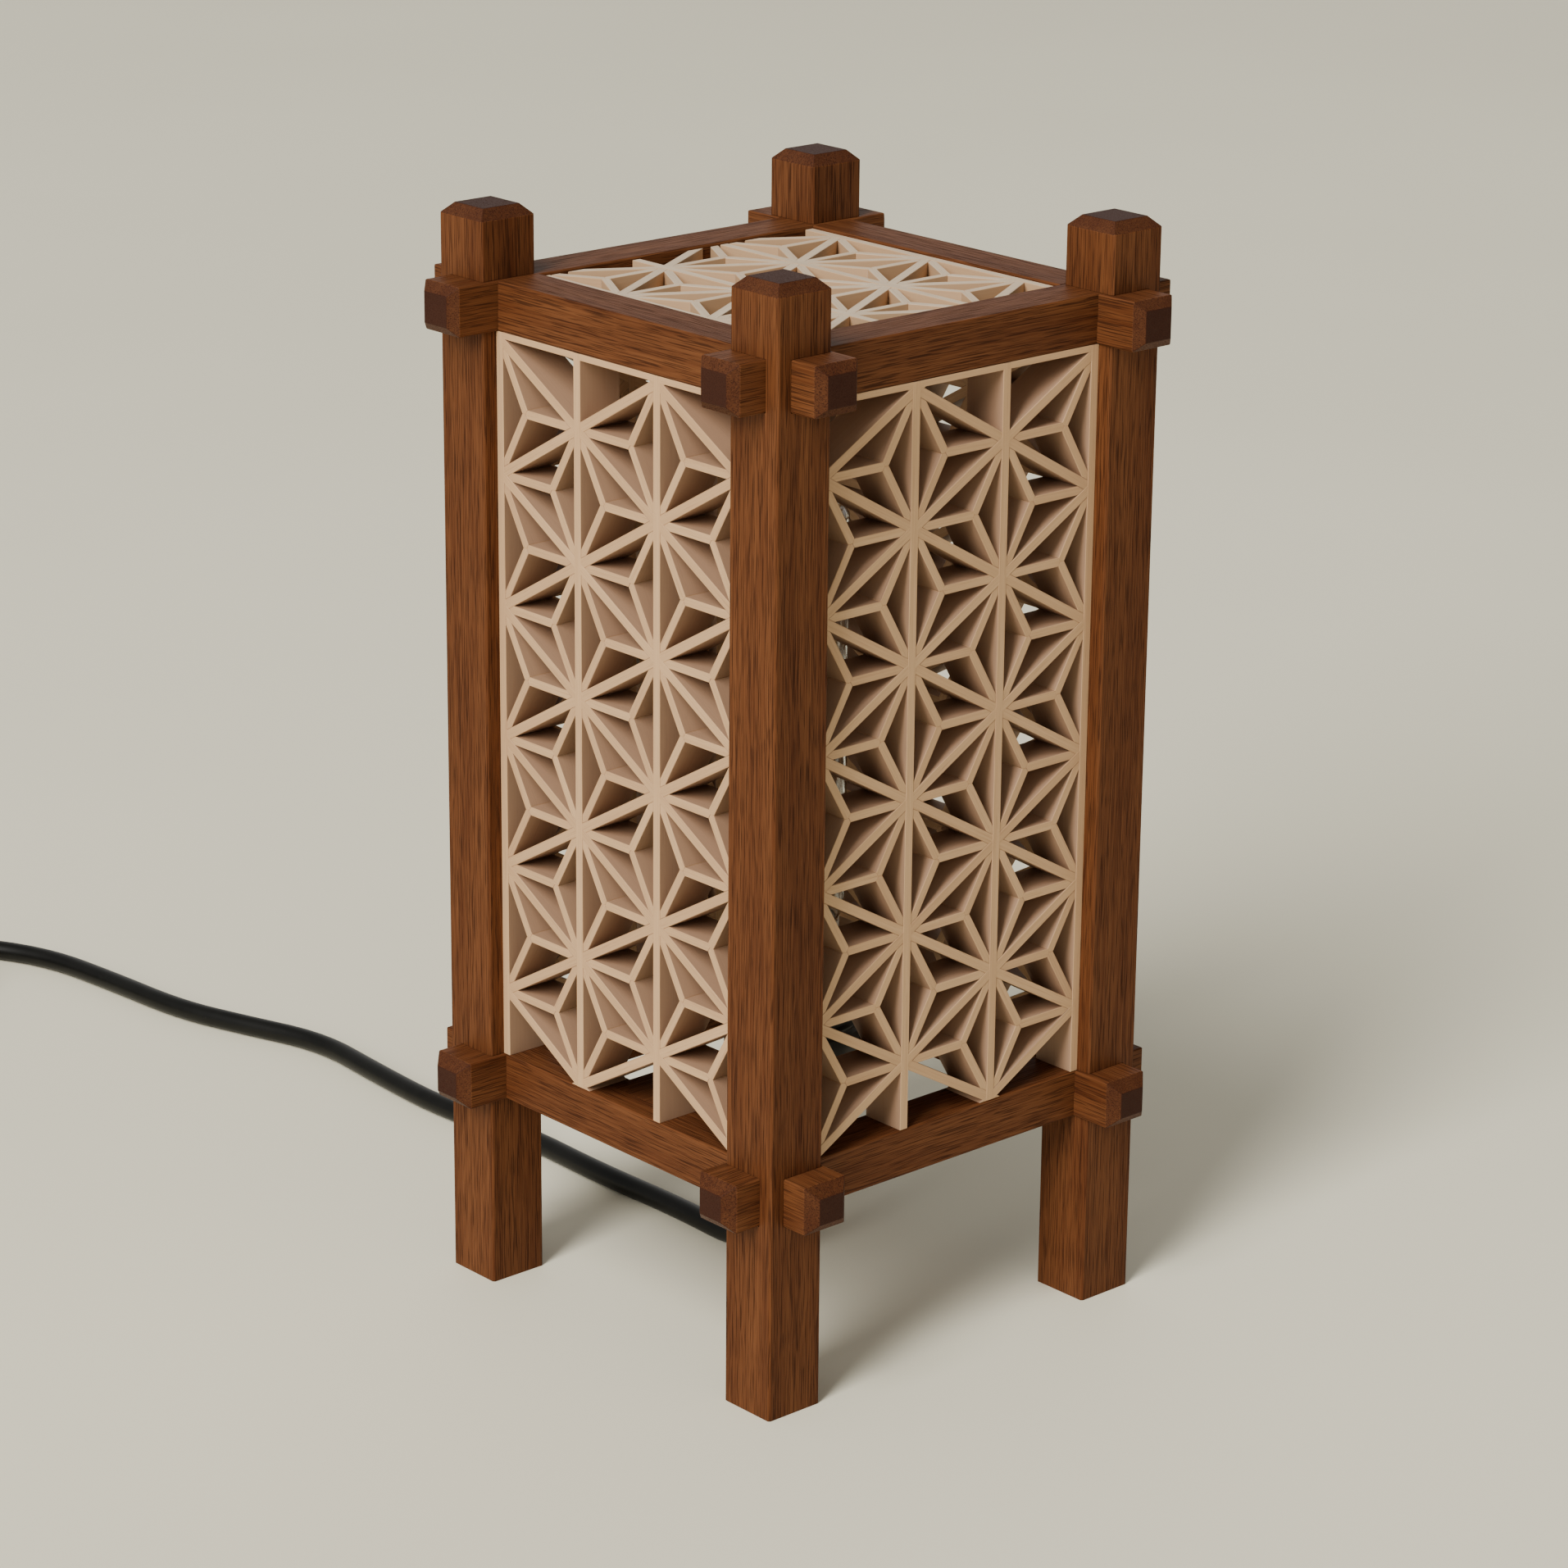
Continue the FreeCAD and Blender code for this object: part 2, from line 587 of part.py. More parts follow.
def build_strain_relief():
    """Eight-sided collar on the threaded tube, with a taper down to the lead."""
    body = add_body("strain_relief")
    collar = add_sketch(body, "CollarOutline", "XY_Plane")
    add_polygon(collar, LEAD_SIDES, "grip_radius")
    add_pad(body, collar, "Collar", "grip_collar")
    neck = add_sketch(body, "NeckOutline", "XY_Plane")
    add_polygon(neck, LEAD_SIDES, "grip_neck_radius")
    add_pad(body, neck, "Neck", "grip_length - grip_collar", turned=True)
    end = -worth("grip_length - grip_collar")
    taper = add_chamfer(body, "Taper", "grip_taper", lambda edge: edge.BoundBox.ZMax < end + 1)
    taper.ChamferType = "Two distances"
    taper.setExpression("Size2", lengths("grip_neck_radius - grip_end_radius"))
    document.recompute()
    seat = add_sketch(body, "SeatOutline", "XY_Plane", "grip_collar")
    add_circle(seat, "tube_radius + thread_play")
    add_pocket(body, seat, "TubeSeat", depth="tube_reach_down - nut_height + thread_play")
    body.Placement.Base = Vector(0, 0, nut_underside() - size("grip_collar"))


# Bulb
def build_bulb():
    """Screw cap with its insulator and end contact, the housing on it, the glass tube and the filament."""
    level = bar_top() + worth("holder_floor + tongue_height + bulb_play")
    for name in ("contact", "insulator", "cap", "housing"):
        radius = f"{name}_radius"
        height = f"{name}_height"
        disc = add_primitive("Part::Cylinder", f"bulb_{name}", Radius=radius, Height=height)
        disc.Placement.Base = Vector(0, 0, level)
        level += size(height)
        pieces.append(disc)
    build_glass(level)
    build_filament(level)


def rounded_end(reach, angles):
    """Corners of the glass's rounded top, at a reach from the rounding's centre."""
    across = f"glass_radius - glass_end + {reach}"
    up = f"glass_height - glass_end + {reach}"
    return [(f"{across} * cos( {angle} deg )", f"{up} * sin( {angle} deg )") for angle in angles]


def build_glass(level):
    """Hollow glass tube that widens from its neck and is rounded at its top."""
    glass = add_body("bulb_diffuser")
    outside = [("glass_neck_radius", "0"), ("glass_radius", "glass_neck")]
    outside += rounded_end("glass_end", (0, 45, 90))
    inside = [("glass_radius - glass_wall", "glass_neck"), ("glass_neck_radius - glass_wall", "0")]
    inside = rounded_end("( glass_end - glass_wall )", (90, 0)) + inside
    middle = [("0", "glass_height"), ("0", "glass_height - glass_wall")]
    add_revolution(glass, "Glass", outside + middle + inside)
    glass.Placement.Base = Vector(0, 0, level)


def add_bar(label, along_x, along_y, height, foot):
    """Straight bar whose underside is centred on a place."""
    bar = add_primitive("Part::Box", label, Length=along_x, Width=along_y, Height=height)
    bar.Placement.Base = foot - Vector(worth(along_x) / 2, worth(along_y) / 2, 0)
    return bar


def build_filament(level):
    """Glass stem with its middle wire, a cross of bars at each end and the filament's four wires."""
    stem = add_primitive("Part::Cylinder", "FilamentStem", Radius="stem_radius", Height="stem_height")
    stem.Placement.Base = Vector(0, 0, level)
    low = Vector(0, 0, level + size("stem_height"))
    high = low + UP * worth("filament_height - wire_width")
    parts = [stem, add_bar("MiddleWire", "middle_wire", "middle_wire", "filament_height", low)]
    for name, foot in (("Lower", low), ("Upper", high)):
        parts.append(add_bar(f"{name}BarX", "filament_span", "wire_width", "wire_width", foot))
        parts.append(add_bar(f"{name}BarY", "wire_width", "filament_span", "wire_width", foot))
    out = worth("( filament_span - wire_width ) / 2")
    for number, way in enumerate((ALONG, INTO, -ALONG, -INTO), start=1):
        place = low + way * out
        parts.append(add_bar(f"FilamentWire{number}", "wire_width", "wire_width", "filament_height", place))
    filament = document.addObject("Part::MultiFuse", "bulb_filament")
    filament.Shapes = parts
    document.recompute()
    pieces.append(filament)


# Lead: a tube on the floor, a coil of the put-away length and a plug
def lead_section(start, way, sides):
    """Even-sided section with its corners on the round lead's surface, square to the way."""
    radius = size("lead_width") / 2
    side = UP.cross(way)
    if side.Length < abs(way.z):
        side = ALONG
    side = Vector(side).normalize()
    rise = Vector(way).cross(side).normalize()
    points = []
    for number in range(sides + 1):
        angle = math.pi * (2 * number + 1) / sides
        points.append(start + side * (radius * math.cos(angle)) + rise * (radius * math.sin(angle)))
    return Part.makePolygon(points)


def swept_lead(label, edges, sides):
    """Sweep the lead's section along a wire and compare its volume with section times length."""
    path = Part.Wire(edges)
    first = edges[0]
    start = first.valueAt(first.FirstParameter)
    section = lead_section(start, first.tangentAt(first.FirstParameter), sides)
    sweep = Part.BRepOffsetAPI.MakePipeShell(path)
    sweep.add(section)
    sweep.build()
    sweep.makeSolid()
    solid = Part.Solid(sweep.shape())
    expected = Part.Face(section).Area * path.Length
    print(f"{label}: length {path.Length:.1f}, volume {solid.Volume:.0f}, expected {expected:.0f}")
    if abs(solid.Volume / expected - 1) > VOLUME_SLACK:
        raise RuntimeError(f"{label}: the volume is off")
    return solid


def coil_height(layer):
    """Height of the coil's middle line in a layer, with room for the tie underneath."""
    return worth("lead_width / 2 + tie_wall + tie_play") + size("coil_step") * layer


def coil_place(turn):
    """Point of the coil's middle line after a number of turns from its start."""
    turns = size("coil_turns")
    radius = size("coil_radius") - size("coil_step") * min(turn, 2 * turns - turn)
    climb = min(max((turn - turns) / size("coil_climb") + 0.5, 0), 1)
    angle = math.radians(size("coil_heading") - 90) + 2 * math.pi * turn
    centre = Vector(size("coil_x"), size("coil_y"), coil_height(climb))
    return centre + Vector(radius * math.cos(angle), radius * math.sin(angle), 0)


def coil_way(turn):
    """Direction of the coil's middle line there."""
    nudge = 0.0005
    return (coil_place(turn + nudge) - coil_place(turn - nudge)).normalize()


def biarc(start, start_way, end, end_way):
    """Two arcs that join two points and follow their directions."""
    gap = end - start
    total = start_way + end_way
    spread = 2 * (1 - start_way.dot(end_way))
    root = gap.dot(total) ** 2 + spread * gap.dot(gap)
    reach = (math.sqrt(root) - gap.dot(total)) / spread
    joint = (start + start_way * reach + end - end_way * reach) / 2
    edges = []
    for begin, way, finish in ((start, start_way, joint), (joint, None, end)):
        if way is None:
            way = (joint - start - start_way * reach).normalize()
        chord = finish - begin
        normal = (chord - way * chord.dot(way)).normalize()
        radius = chord.dot(chord) / (2 * chord.dot(normal))
        centre = begin + normal * radius
        middle = centre + ((begin + finish) / 2 - centre).normalize() * radius
        edges.append(Part.Arc(begin, middle, finish).toShape())
    return edges


def least_gap(places, width, apart):
    """Least gap of a tube to itself, between points that lie further apart along it than given."""
    nearest = min(
        (one - other).Length
        for index, one in enumerate(places)
        for other in places[index + apart:]
    )
    return nearest - width


def build_coil():
    """Coil of the put-away length in two layers; returns the places and directions of its two ends."""
    total = 2 * size("coil_turns")
    width = size("lead_width")
    count = round(total * QUARTERS)
    places = [coil_place(total * number / count) for number in range(count + 1)]
    ways = [coil_way(total * number / count) for number in range(count + 1)]
    start = places[0] - ways[0] * width
    end = places[-1] + ways[-1] * size("coil_tail")
    edges = [Part.LineSegment(start, places[0]).toShape()]
    for index in range(count):
        edges += biarc(places[index], ways[index], places[index + 1], ways[index + 1])
    edges.append(Part.LineSegment(places[-1], end).toShape())
    fine = 10 * count
    dense = [coil_place(total * number / fine) for number in range(fine + 1)]
    half_turn = fine // count * QUARTERS // 2
    print(f"coil: least gap to itself {least_gap(dense, width, half_turn):.2f}")
    add_feature("lead_coil", swept_lead("lead_coil", edges, COIL_SIDES))
    return start, ways[0], end, ways[-1]


def rounded_route(points):
    """Straight runs with an arc at each point, as large as the shorter run there allows."""
    edges = []
    last = points[0]
    radii = []
    for index in range(1, len(points) - 1):
        corner = points[index]
        back = points[index - 1] - corner
        ahead = points[index + 1] - corner
        turn = math.pi - back.getAngle(ahead)
        trim = ARC_SHARE * min(back.Length, ahead.Length)
        radius = trim / math.tan(turn / 2)
        radii.append(radius)
        begin = corner + Vector(back).normalize() * trim
        finish = corner + Vector(ahead).normalize() * trim
        inward = (Vector(back).normalize() + Vector(ahead).normalize()).normalize()
        middle = corner + inward * (radius / math.cos(turn / 2) - radius)
        edges.append(Part.LineSegment(last, begin).toShape())
        edges.append(Part.Arc(begin, middle, finish).toShape())
        last = finish
    edges.append(Part.LineSegment(last, points[-1]).toShape())
    print("lead: radii " + ", ".join(f"{radius:.0f}" for radius in radii))
    return edges


def build_lead(coil_start, coil_start_way):
    """Free stretch of the lead: down from the strain relief, along the floor and up to the coil."""
    floor = size("lead_width") / 2
    turn = math.pi / 2 / BEND_PARTS
    half_run = size("lead_bend") * math.tan(turn / 2)
    points = [
        Vector(0, 0, nut_underside() - size("grip_length")),
        Vector(0, 0, floor + size("lead_bend") - half_run),
    ]
    for number in range(1, BEND_PARTS):
        way = Vector(0, math.sin(turn * number), -math.cos(turn * number))
        points.append(points[-1] + way * (2 * half_run))
    points += [Vector(across, along, floor) for across, along in ROUTE]
    points.append(coil_start - coil_start_way * size("coil_approach"))
    points.append(coil_start)
    print("lead: points " + ", ".join(f"({point.x:.1f} {point.y:.1f} {point.z:.1f})" for point in points))
    add_feature("lead_tube", swept_lead("lead_tube", rounded_route(points), LEAD_SIDES))


def build_tie():
    """Flat strap round all the turns of the coil, with chamfered corners."""
    angle = size("tie_angle")
    lap = (angle - size("coil_heading") + 90) / 360
    step = size("coil_step")
    outer = size("coil_radius") - step * lap
    inner = outer - step * int(size("coil_turns") - lap)
    room = worth("lead_width / 2 + tie_play")
    side_room = worth("lead_width / 2 + tie_slack")
    width = size("tie_width")
    rings = []
    for wall in (size("tie_wall"), 0):
        left = inner - side_room - wall
        low = coil_height(0) - room - wall
        length = outer + side_room + wall - left
        height = coil_height(1) + room + wall - low
        block = Part.makeBox(length, width, height, Vector(left, -width / 2, low))
        long_edges = [edge for edge in block.Edges if spans(edge, INTO, width / 2)]
        rings.append(block.makeChamfer(size("tie_corner") + wall / 2, long_edges))
    place = Placement(Vector(size("coil_x"), size("coil_y"), 0), Rotation(UP, angle))
    add_feature("lead_tie", rings[0].cut(rings[1]), place)


def build_plug(end, way):
    """Flat plug with a tapered strain relief and two blades, lying on its narrow side by the coil."""
    body = add_body("plug_body")
    relief = add_sketch(body, "ReliefOutline", "XZ_Plane")
    add_outline(relief, [
        ("0 - relief_thin / 2", "0"), ("relief_thin / 2", "0"),
        ("relief_thick / 2", "relief_length"), ("0 - relief_thick / 2", "relief_length"),
    ])
    add_pad(body, relief, "Relief", "relief_depth", both_ways=True)
    reach = "( lead_width / 2 + tie_wall + tie_play + coil_step )"
    shoulder = "relief_length + plug_shoulder"
    outline = add_sketch(body, "PlugOutline", "XZ_Plane")
    add_outline(outline, [
        ("0 - relief_thick / 2", "relief_length"), ("relief_thick / 2", "relief_length"), (reach, shoulder),
        (reach, "plug_length"), (f"0 - {reach}", "plug_length"), (f"0 - {reach}", shoulder),
    ])
    add_pad(body, outline, "Plug", "plug_depth", both_ways=True)
    face = size("plug_length")
    near_face = face - size("plug_chamfer")
    add_chamfer(body, "FaceChamfer", "plug_chamfer", lambda edge: edge.BoundBox.ZMin > near_face)
    place = Placement(end, Rotation(UP, way.cross(UP), way, "ZXY"))
    body.Placement = place
    blades = []
    for share in (-0.5, 0.5):
        left = size("blade_spacing") * share - size("blade_thickness") / 2
        blade = Part.makeBox(
            size("blade_thickness"), size("blade_width"), size("blade_length"),
            Vector(left, -size("blade_width") / 2, face),
        )
        tips = [edge for edge in blade.Edges if edge.BoundBox.ZMin > face and spans(edge, ALONG, 1)]
        blades.append(blade.makeChamfer(size("blade_chamfer"), tips))
    add_feature("plug_blades", Part.makeCompound(blades), place)


for step, side_name in enumerate(SIDES):
    build_post(side_name, step)
    build_rail(side_name, step, "top", "top_stub_chamfer", size("top_rail_z"))
    build_rail(side_name, step, "bottom", "low_stub_chamfer", size("low_rail_z"))
build_side_lattices()
build_top_lattice()
build_cleats()
build_cross_bar()
build_lampholder()
build_strain_relief()
build_bulb()
coil_start, start_way, coil_end, end_way = build_coil()
build_lead(coil_start, start_way)
build_tie()
build_plug(coil_end, end_way)
document.recompute()

for item in document.Objects:
    if "Invalid" in item.State or "Error" in item.State:
        raise RuntimeError(f"{item.Label} failed")
for piece in pieces:
    if piece.Shape.isNull() or not piece.Shape.isValid() or not piece.Shape.Solids:
        raise RuntimeError(f"{piece.Label} is not a valid solid")

os.makedirs("parts", exist_ok=True)
for piece in pieces:
    piece.Shape.exportStep(f"parts/{piece.Label}.step")
    box = piece.Shape.BoundBox
    low = f"{box.XMin:.1f} {box.YMin:.1f} {box.ZMin:.1f}"
    high = f"{box.XMax:.1f} {box.YMax:.1f} {box.ZMax:.1f}"
    print(f"{piece.Label}: {len(piece.Shape.Solids)} solids, {piece.Shape.Volume:.0f} mm3, {low} to {high}")
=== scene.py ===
"""Kumiko table lamp: lattice slips, timber, lampholder, bulb and lead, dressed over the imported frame."""
import logging
import math
import random
from dataclasses import dataclass, field, replace
from enum import Enum
from typing import Iterable, Sequence

import bpy
from mathutils import Matrix, Vector


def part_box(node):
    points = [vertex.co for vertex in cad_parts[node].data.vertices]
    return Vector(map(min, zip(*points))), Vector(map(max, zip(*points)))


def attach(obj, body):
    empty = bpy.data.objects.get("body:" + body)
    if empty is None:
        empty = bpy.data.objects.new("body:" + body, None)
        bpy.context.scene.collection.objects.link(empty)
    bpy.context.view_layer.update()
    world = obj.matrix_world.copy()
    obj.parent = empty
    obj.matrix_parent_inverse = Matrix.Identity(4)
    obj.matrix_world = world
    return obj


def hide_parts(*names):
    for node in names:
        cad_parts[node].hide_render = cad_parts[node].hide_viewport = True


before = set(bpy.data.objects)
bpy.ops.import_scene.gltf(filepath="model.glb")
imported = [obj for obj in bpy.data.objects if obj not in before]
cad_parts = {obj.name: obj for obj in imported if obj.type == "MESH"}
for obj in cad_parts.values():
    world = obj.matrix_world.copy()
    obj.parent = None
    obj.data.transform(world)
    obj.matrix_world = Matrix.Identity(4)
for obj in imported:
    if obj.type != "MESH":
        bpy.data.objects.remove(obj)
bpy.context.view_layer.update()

log = logging.getLogger("kumiko_lamp")

MM = 0.001
DOUBLED = 0.002 * MM
FLAT = math.radians(1)
THREAD_ANGLE = 50.0
UP = Vector((0, 0, 1))
Colour = tuple[float, float, float, float]
Station = tuple[float, float]
Piece = bpy.types.Object
Socket = bpy.types.NodeSocket


def srgb(red: int, green: int, blue: int) -> Colour:
    """Turn a colour of 0 to 255 steps into the linear values that shaders take.

    Args:
        red: Red step.
        green: Green step.
        blue: Blue step.

    Returns:
        Linear red, green and blue, with full alpha.
    """
    steps = [step / 255 for step in (red, green, blue)]
    linear = [step / 12.92 if step < 0.0405 else ((step + 0.055) / 1.055) ** 2.4 for step in steps]
    return (linear[0], linear[1], linear[2], 1.0)


# Bench: selecting, sawing, easing, turning and joining pieces
def pick(*pieces: Piece) -> None:
    """Select these pieces alone and make the first of them active.

    Args:
        pieces: Pieces to select.
    """
    bpy.ops.object.select_all(action="DESELECT")
    for piece in pieces:
        piece.select_set(True)
    bpy.context.view_layer.objects.active = pieces[0]


def settle(piece: Piece) -> None:
    """Put a piece's place, turn and scale into its mesh."""
    pick(piece)
    bpy.ops.object.transform_apply(location=True, rotation=True, scale=True)


def opened(piece: Piece) -> None:
    """Enter edit mode with all of a piece selected."""
    pick(piece)
    bpy.ops.object.mode_set(mode="EDIT")
    bpy.ops.mesh.select_all(action="SELECT")


def named(piece: Piece, name: str) -> Piece:
    """Give a piece and its mesh the same name.

    Args:
        piece: Piece to name.
        name: The name.

    Returns:
        The piece.
    """
    piece.name = name
    piece.data.name = name
    return piece


def block(name: str, low: Sequence[float], high: Sequence[float]) -> Piece:
    """Add a squared blank between two corners.

    Args:
        name: Name of the piece.
        low: Lowest corner.
        high: Highest corner.

    Returns:
        The blank.
    """
    near, far = Vector(low), Vector(high)
    bpy.ops.object.select_all(action="DESELECT")
    bpy.ops.mesh.primitive_cube_add(size=1, location=(near + far) / 2)
    piece = named(bpy.context.active_object, name)
    piece.scale = far - near
    settle(piece)
    return piece


def saw(piece: Piece, point: Sequence[float], outward: Sequence[float]) -> None:
    """Saw off what lies beyond a plane and close the cut.

    Args:
        piece: Piece to cut.
        point: A point of the plane.
        outward: Direction of the waste.
    """
    opened(piece)
    bpy.ops.mesh.bisect(plane_co=point, plane_no=outward, use_fill=True, clear_outer=True)
    bpy.ops.object.mode_set(mode="OBJECT")


def apply_modifier(piece: Piece, kind: str, **values: object) -> None:
    """Add a modifier, set its values and apply it.

    Args:
        piece: Piece that takes it.
        kind: Blender's name for the modifier.
        values: Settings of the modifier.
    """
    pick(piece)
    modifier = piece.modifiers.new(kind.title(), kind)
    for key, value in values.items():
        setattr(modifier, key, value)
    bpy.ops.object.modifier_apply(modifier=modifier.name)


def ease(piece: Piece, width: float, segments: int = 1, angle: float = 30) -> None:
    """Round the sharp edges of a piece.

    Args:
        piece: Piece to ease.
        width: Width of the easing.
        segments: Steps of the rounding.
        angle: Edges bent by more than these degrees are eased.
    """
    apply_modifier(
        piece, "BEVEL", width=width, segments=segments, limit_method="ANGLE",
        angle_limit=math.radians(angle), use_clamp_overlap=True,
    )


def smooth(piece: Piece, angle: float = 35) -> None:
    """Shade a piece smooth, apart from edges bent by more than this angle in degrees."""
    pick(piece)
    bpy.ops.object.shade_smooth_by_angle(angle=math.radians(angle))


def face_outwards(piece: Piece) -> None:
    """Merge doubled points and turn all faces outwards.

    Args:
        piece: Piece to clean.
    """
    opened(piece)
    bpy.ops.mesh.remove_doubles(threshold=DOUBLED)
    bpy.ops.mesh.normals_make_consistent(inside=False)
    bpy.ops.object.mode_set(mode="OBJECT")


def drawn_line(name: str, points: Sequence[Sequence[float]]) -> Piece:
    """Draw an open line of edges from point to point.

    Args:
        name: Name of the piece.
        points: Corners of the line.

    Returns:
        A mesh of edges alone.
    """
    bpy.ops.object.select_all(action="DESELECT")
    bpy.ops.mesh.primitive_plane_add(size=1, location=points[0])
    piece = named(bpy.context.active_object, name)
    settle(piece)
    opened(piece)
    bpy.ops.mesh.merge(type="CENTER")
    for start, end in zip(points, points[1:]):
        step = Vector(end) - Vector(start)
        bpy.ops.mesh.extrude_region_move(TRANSFORM_OT_translate={"value": step})
    bpy.ops.object.mode_set(mode="OBJECT")
    return piece


def spin(piece: Piece, sides: int, **values: object) -> None:
    """Spin a drawn line about the lamp's axis.

    Args:
        piece: The line.
        sides: Steps in one turn.
        values: Further settings of the modifier that spins it.
    """
    apply_modifier(
        piece, "SCREW", axis="Z", angle=2 * math.pi, steps=sides, render_steps=sides,
        use_merge_vertices=True, merge_threshold=DOUBLED, use_smooth_shade=False, **values,
    )
    face_outwards(piece)


def turned(name: str, profile: Sequence[Station], sides: int = 48) -> Piece:
    """Turn a round piece about the lamp's axis.

    Args:
        name: Name of the piece.
        profile: Radius and height of each corner of the profile.
        sides: Steps round the axis.

    Returns:
        The turned piece, closed where the profile starts and ends on the axis or on itself.
    """
    piece = drawn_line(name, [(radius, 0, height) for radius, height in profile])
    spin(piece, sides)
    return piece


def threaded(
    name: str, crest: float, root: float, low: float, high: float, pitch: float, sides: int = 36,
) -> Piece:
    """Make a rod with a rolled screw thread on the lamp's axis.

    Args:
        name: Name of the piece.
        crest: Radius of the thread's crest.
        root: Radius of the thread's root.
        low: Lower end.
        high: Upper end.
        pitch: Rise of the thread in one turn.
        sides: Steps in one turn.

    Returns:
        The threaded rod, sawn square at both ends.
    """
    middle = (crest + root) / 2
    swing = (crest - root) / 2
    parts = 6
    spare_turns = 3
    start = low - spare_turns / 2 * pitch
    points = [
        (middle + swing * math.cos(2 * math.pi * part / parts), 0, start + pitch * part / parts)
        for part in range(parts + 1)
    ]
    piece = drawn_line(name, points)
    turns = math.ceil((high - low) / pitch) + spare_turns
    spin(piece, sides, screw_offset=pitch, iterations=turns)
    saw(piece, (0, 0, high), UP)
    saw(piece, (0, 0, low), -UP)
    face_outwards(piece)
    return piece


def copied(piece: Piece, name: str, place: Matrix) -> Piece:
    """Copy a piece with a mesh of its own and settle the copy at a place.

    Args:
        piece: Piece to copy.
        name: Name of the copy.
        place: Place of the copy.

    Returns:
        The copy.
    """
    twin = bpy.data.objects.new(name, piece.data.copy())
    bpy.context.collection.objects.link(twin)
    twin.matrix_world = place
    settle(twin)
    return named(twin, name)


def joined(name: str, pieces: Sequence[Piece]) -> Piece:
    """Join pieces into one.

    Args:
        name: Name of the result.
        pieces: Pieces to join.

    Returns:
        The joined piece.
    """
    pick(*pieces)
    if len(pieces) > 1:
        bpy.ops.object.join()
    return named(bpy.context.active_object, name)


def eased_copy(node: str, name: str, width: float, segments: int = 2) -> Piece:
    """Copy a node's solid as one clean mesh with rounded edges.

    Args:
        node: Name of the node.
        name: Name of the copy.
        width: Width of the rounding.
        segments: Steps of the rounding.

    Returns:
        The copy.
    """
    piece = bpy.data.objects.new(name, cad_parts[node].data.copy())
    bpy.context.collection.objects.link(piece)
    named(piece, name)
    piece.data.materials.clear()
    opened(piece)
    bpy.ops.mesh.remove_doubles(threshold=DOUBLED)
    bpy.ops.mesh.dissolve_limited(angle_limit=FLAT)
    bpy.ops.object.mode_set(mode="OBJECT")
    bpy.ops.object.shade_flat()
    ease(piece, width, segments)
    return piece


def installed(
    piece: Piece, finish: bpy.types.Material, body: str, slot: str, *nodes: str,
) -> None:
    """Dress a piece, let it ride on a body and let it stand for nodes.

    Args:
        piece: The piece.
        finish: Its material.
        body: Body that it rides on.
        slot: Slot of the record that its finish belongs to; not used.
        nodes: Nodes that it stands for.
    """
    dress(piece, finish)
    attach(piece, body)
    if nodes:
        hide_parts(*nodes)
    log.info("%s: %d faces", piece.name, len(piece.data.polygons))


def thrown_away(piece: Piece) -> None:
    """Delete a pattern piece once its copies are made."""
    bpy.data.objects.remove(piece, do_unlink=True)


def dress(piece: Piece, finish: bpy.types.Material) -> None:
    """Put one material on all slots of a piece.

    Args:
        piece: Piece or node to dress.
        finish: Its material.
    """
    if not piece.material_slots:
        piece.data.materials.append(finish)
    for slot in piece.material_slots:
        slot.material = finish


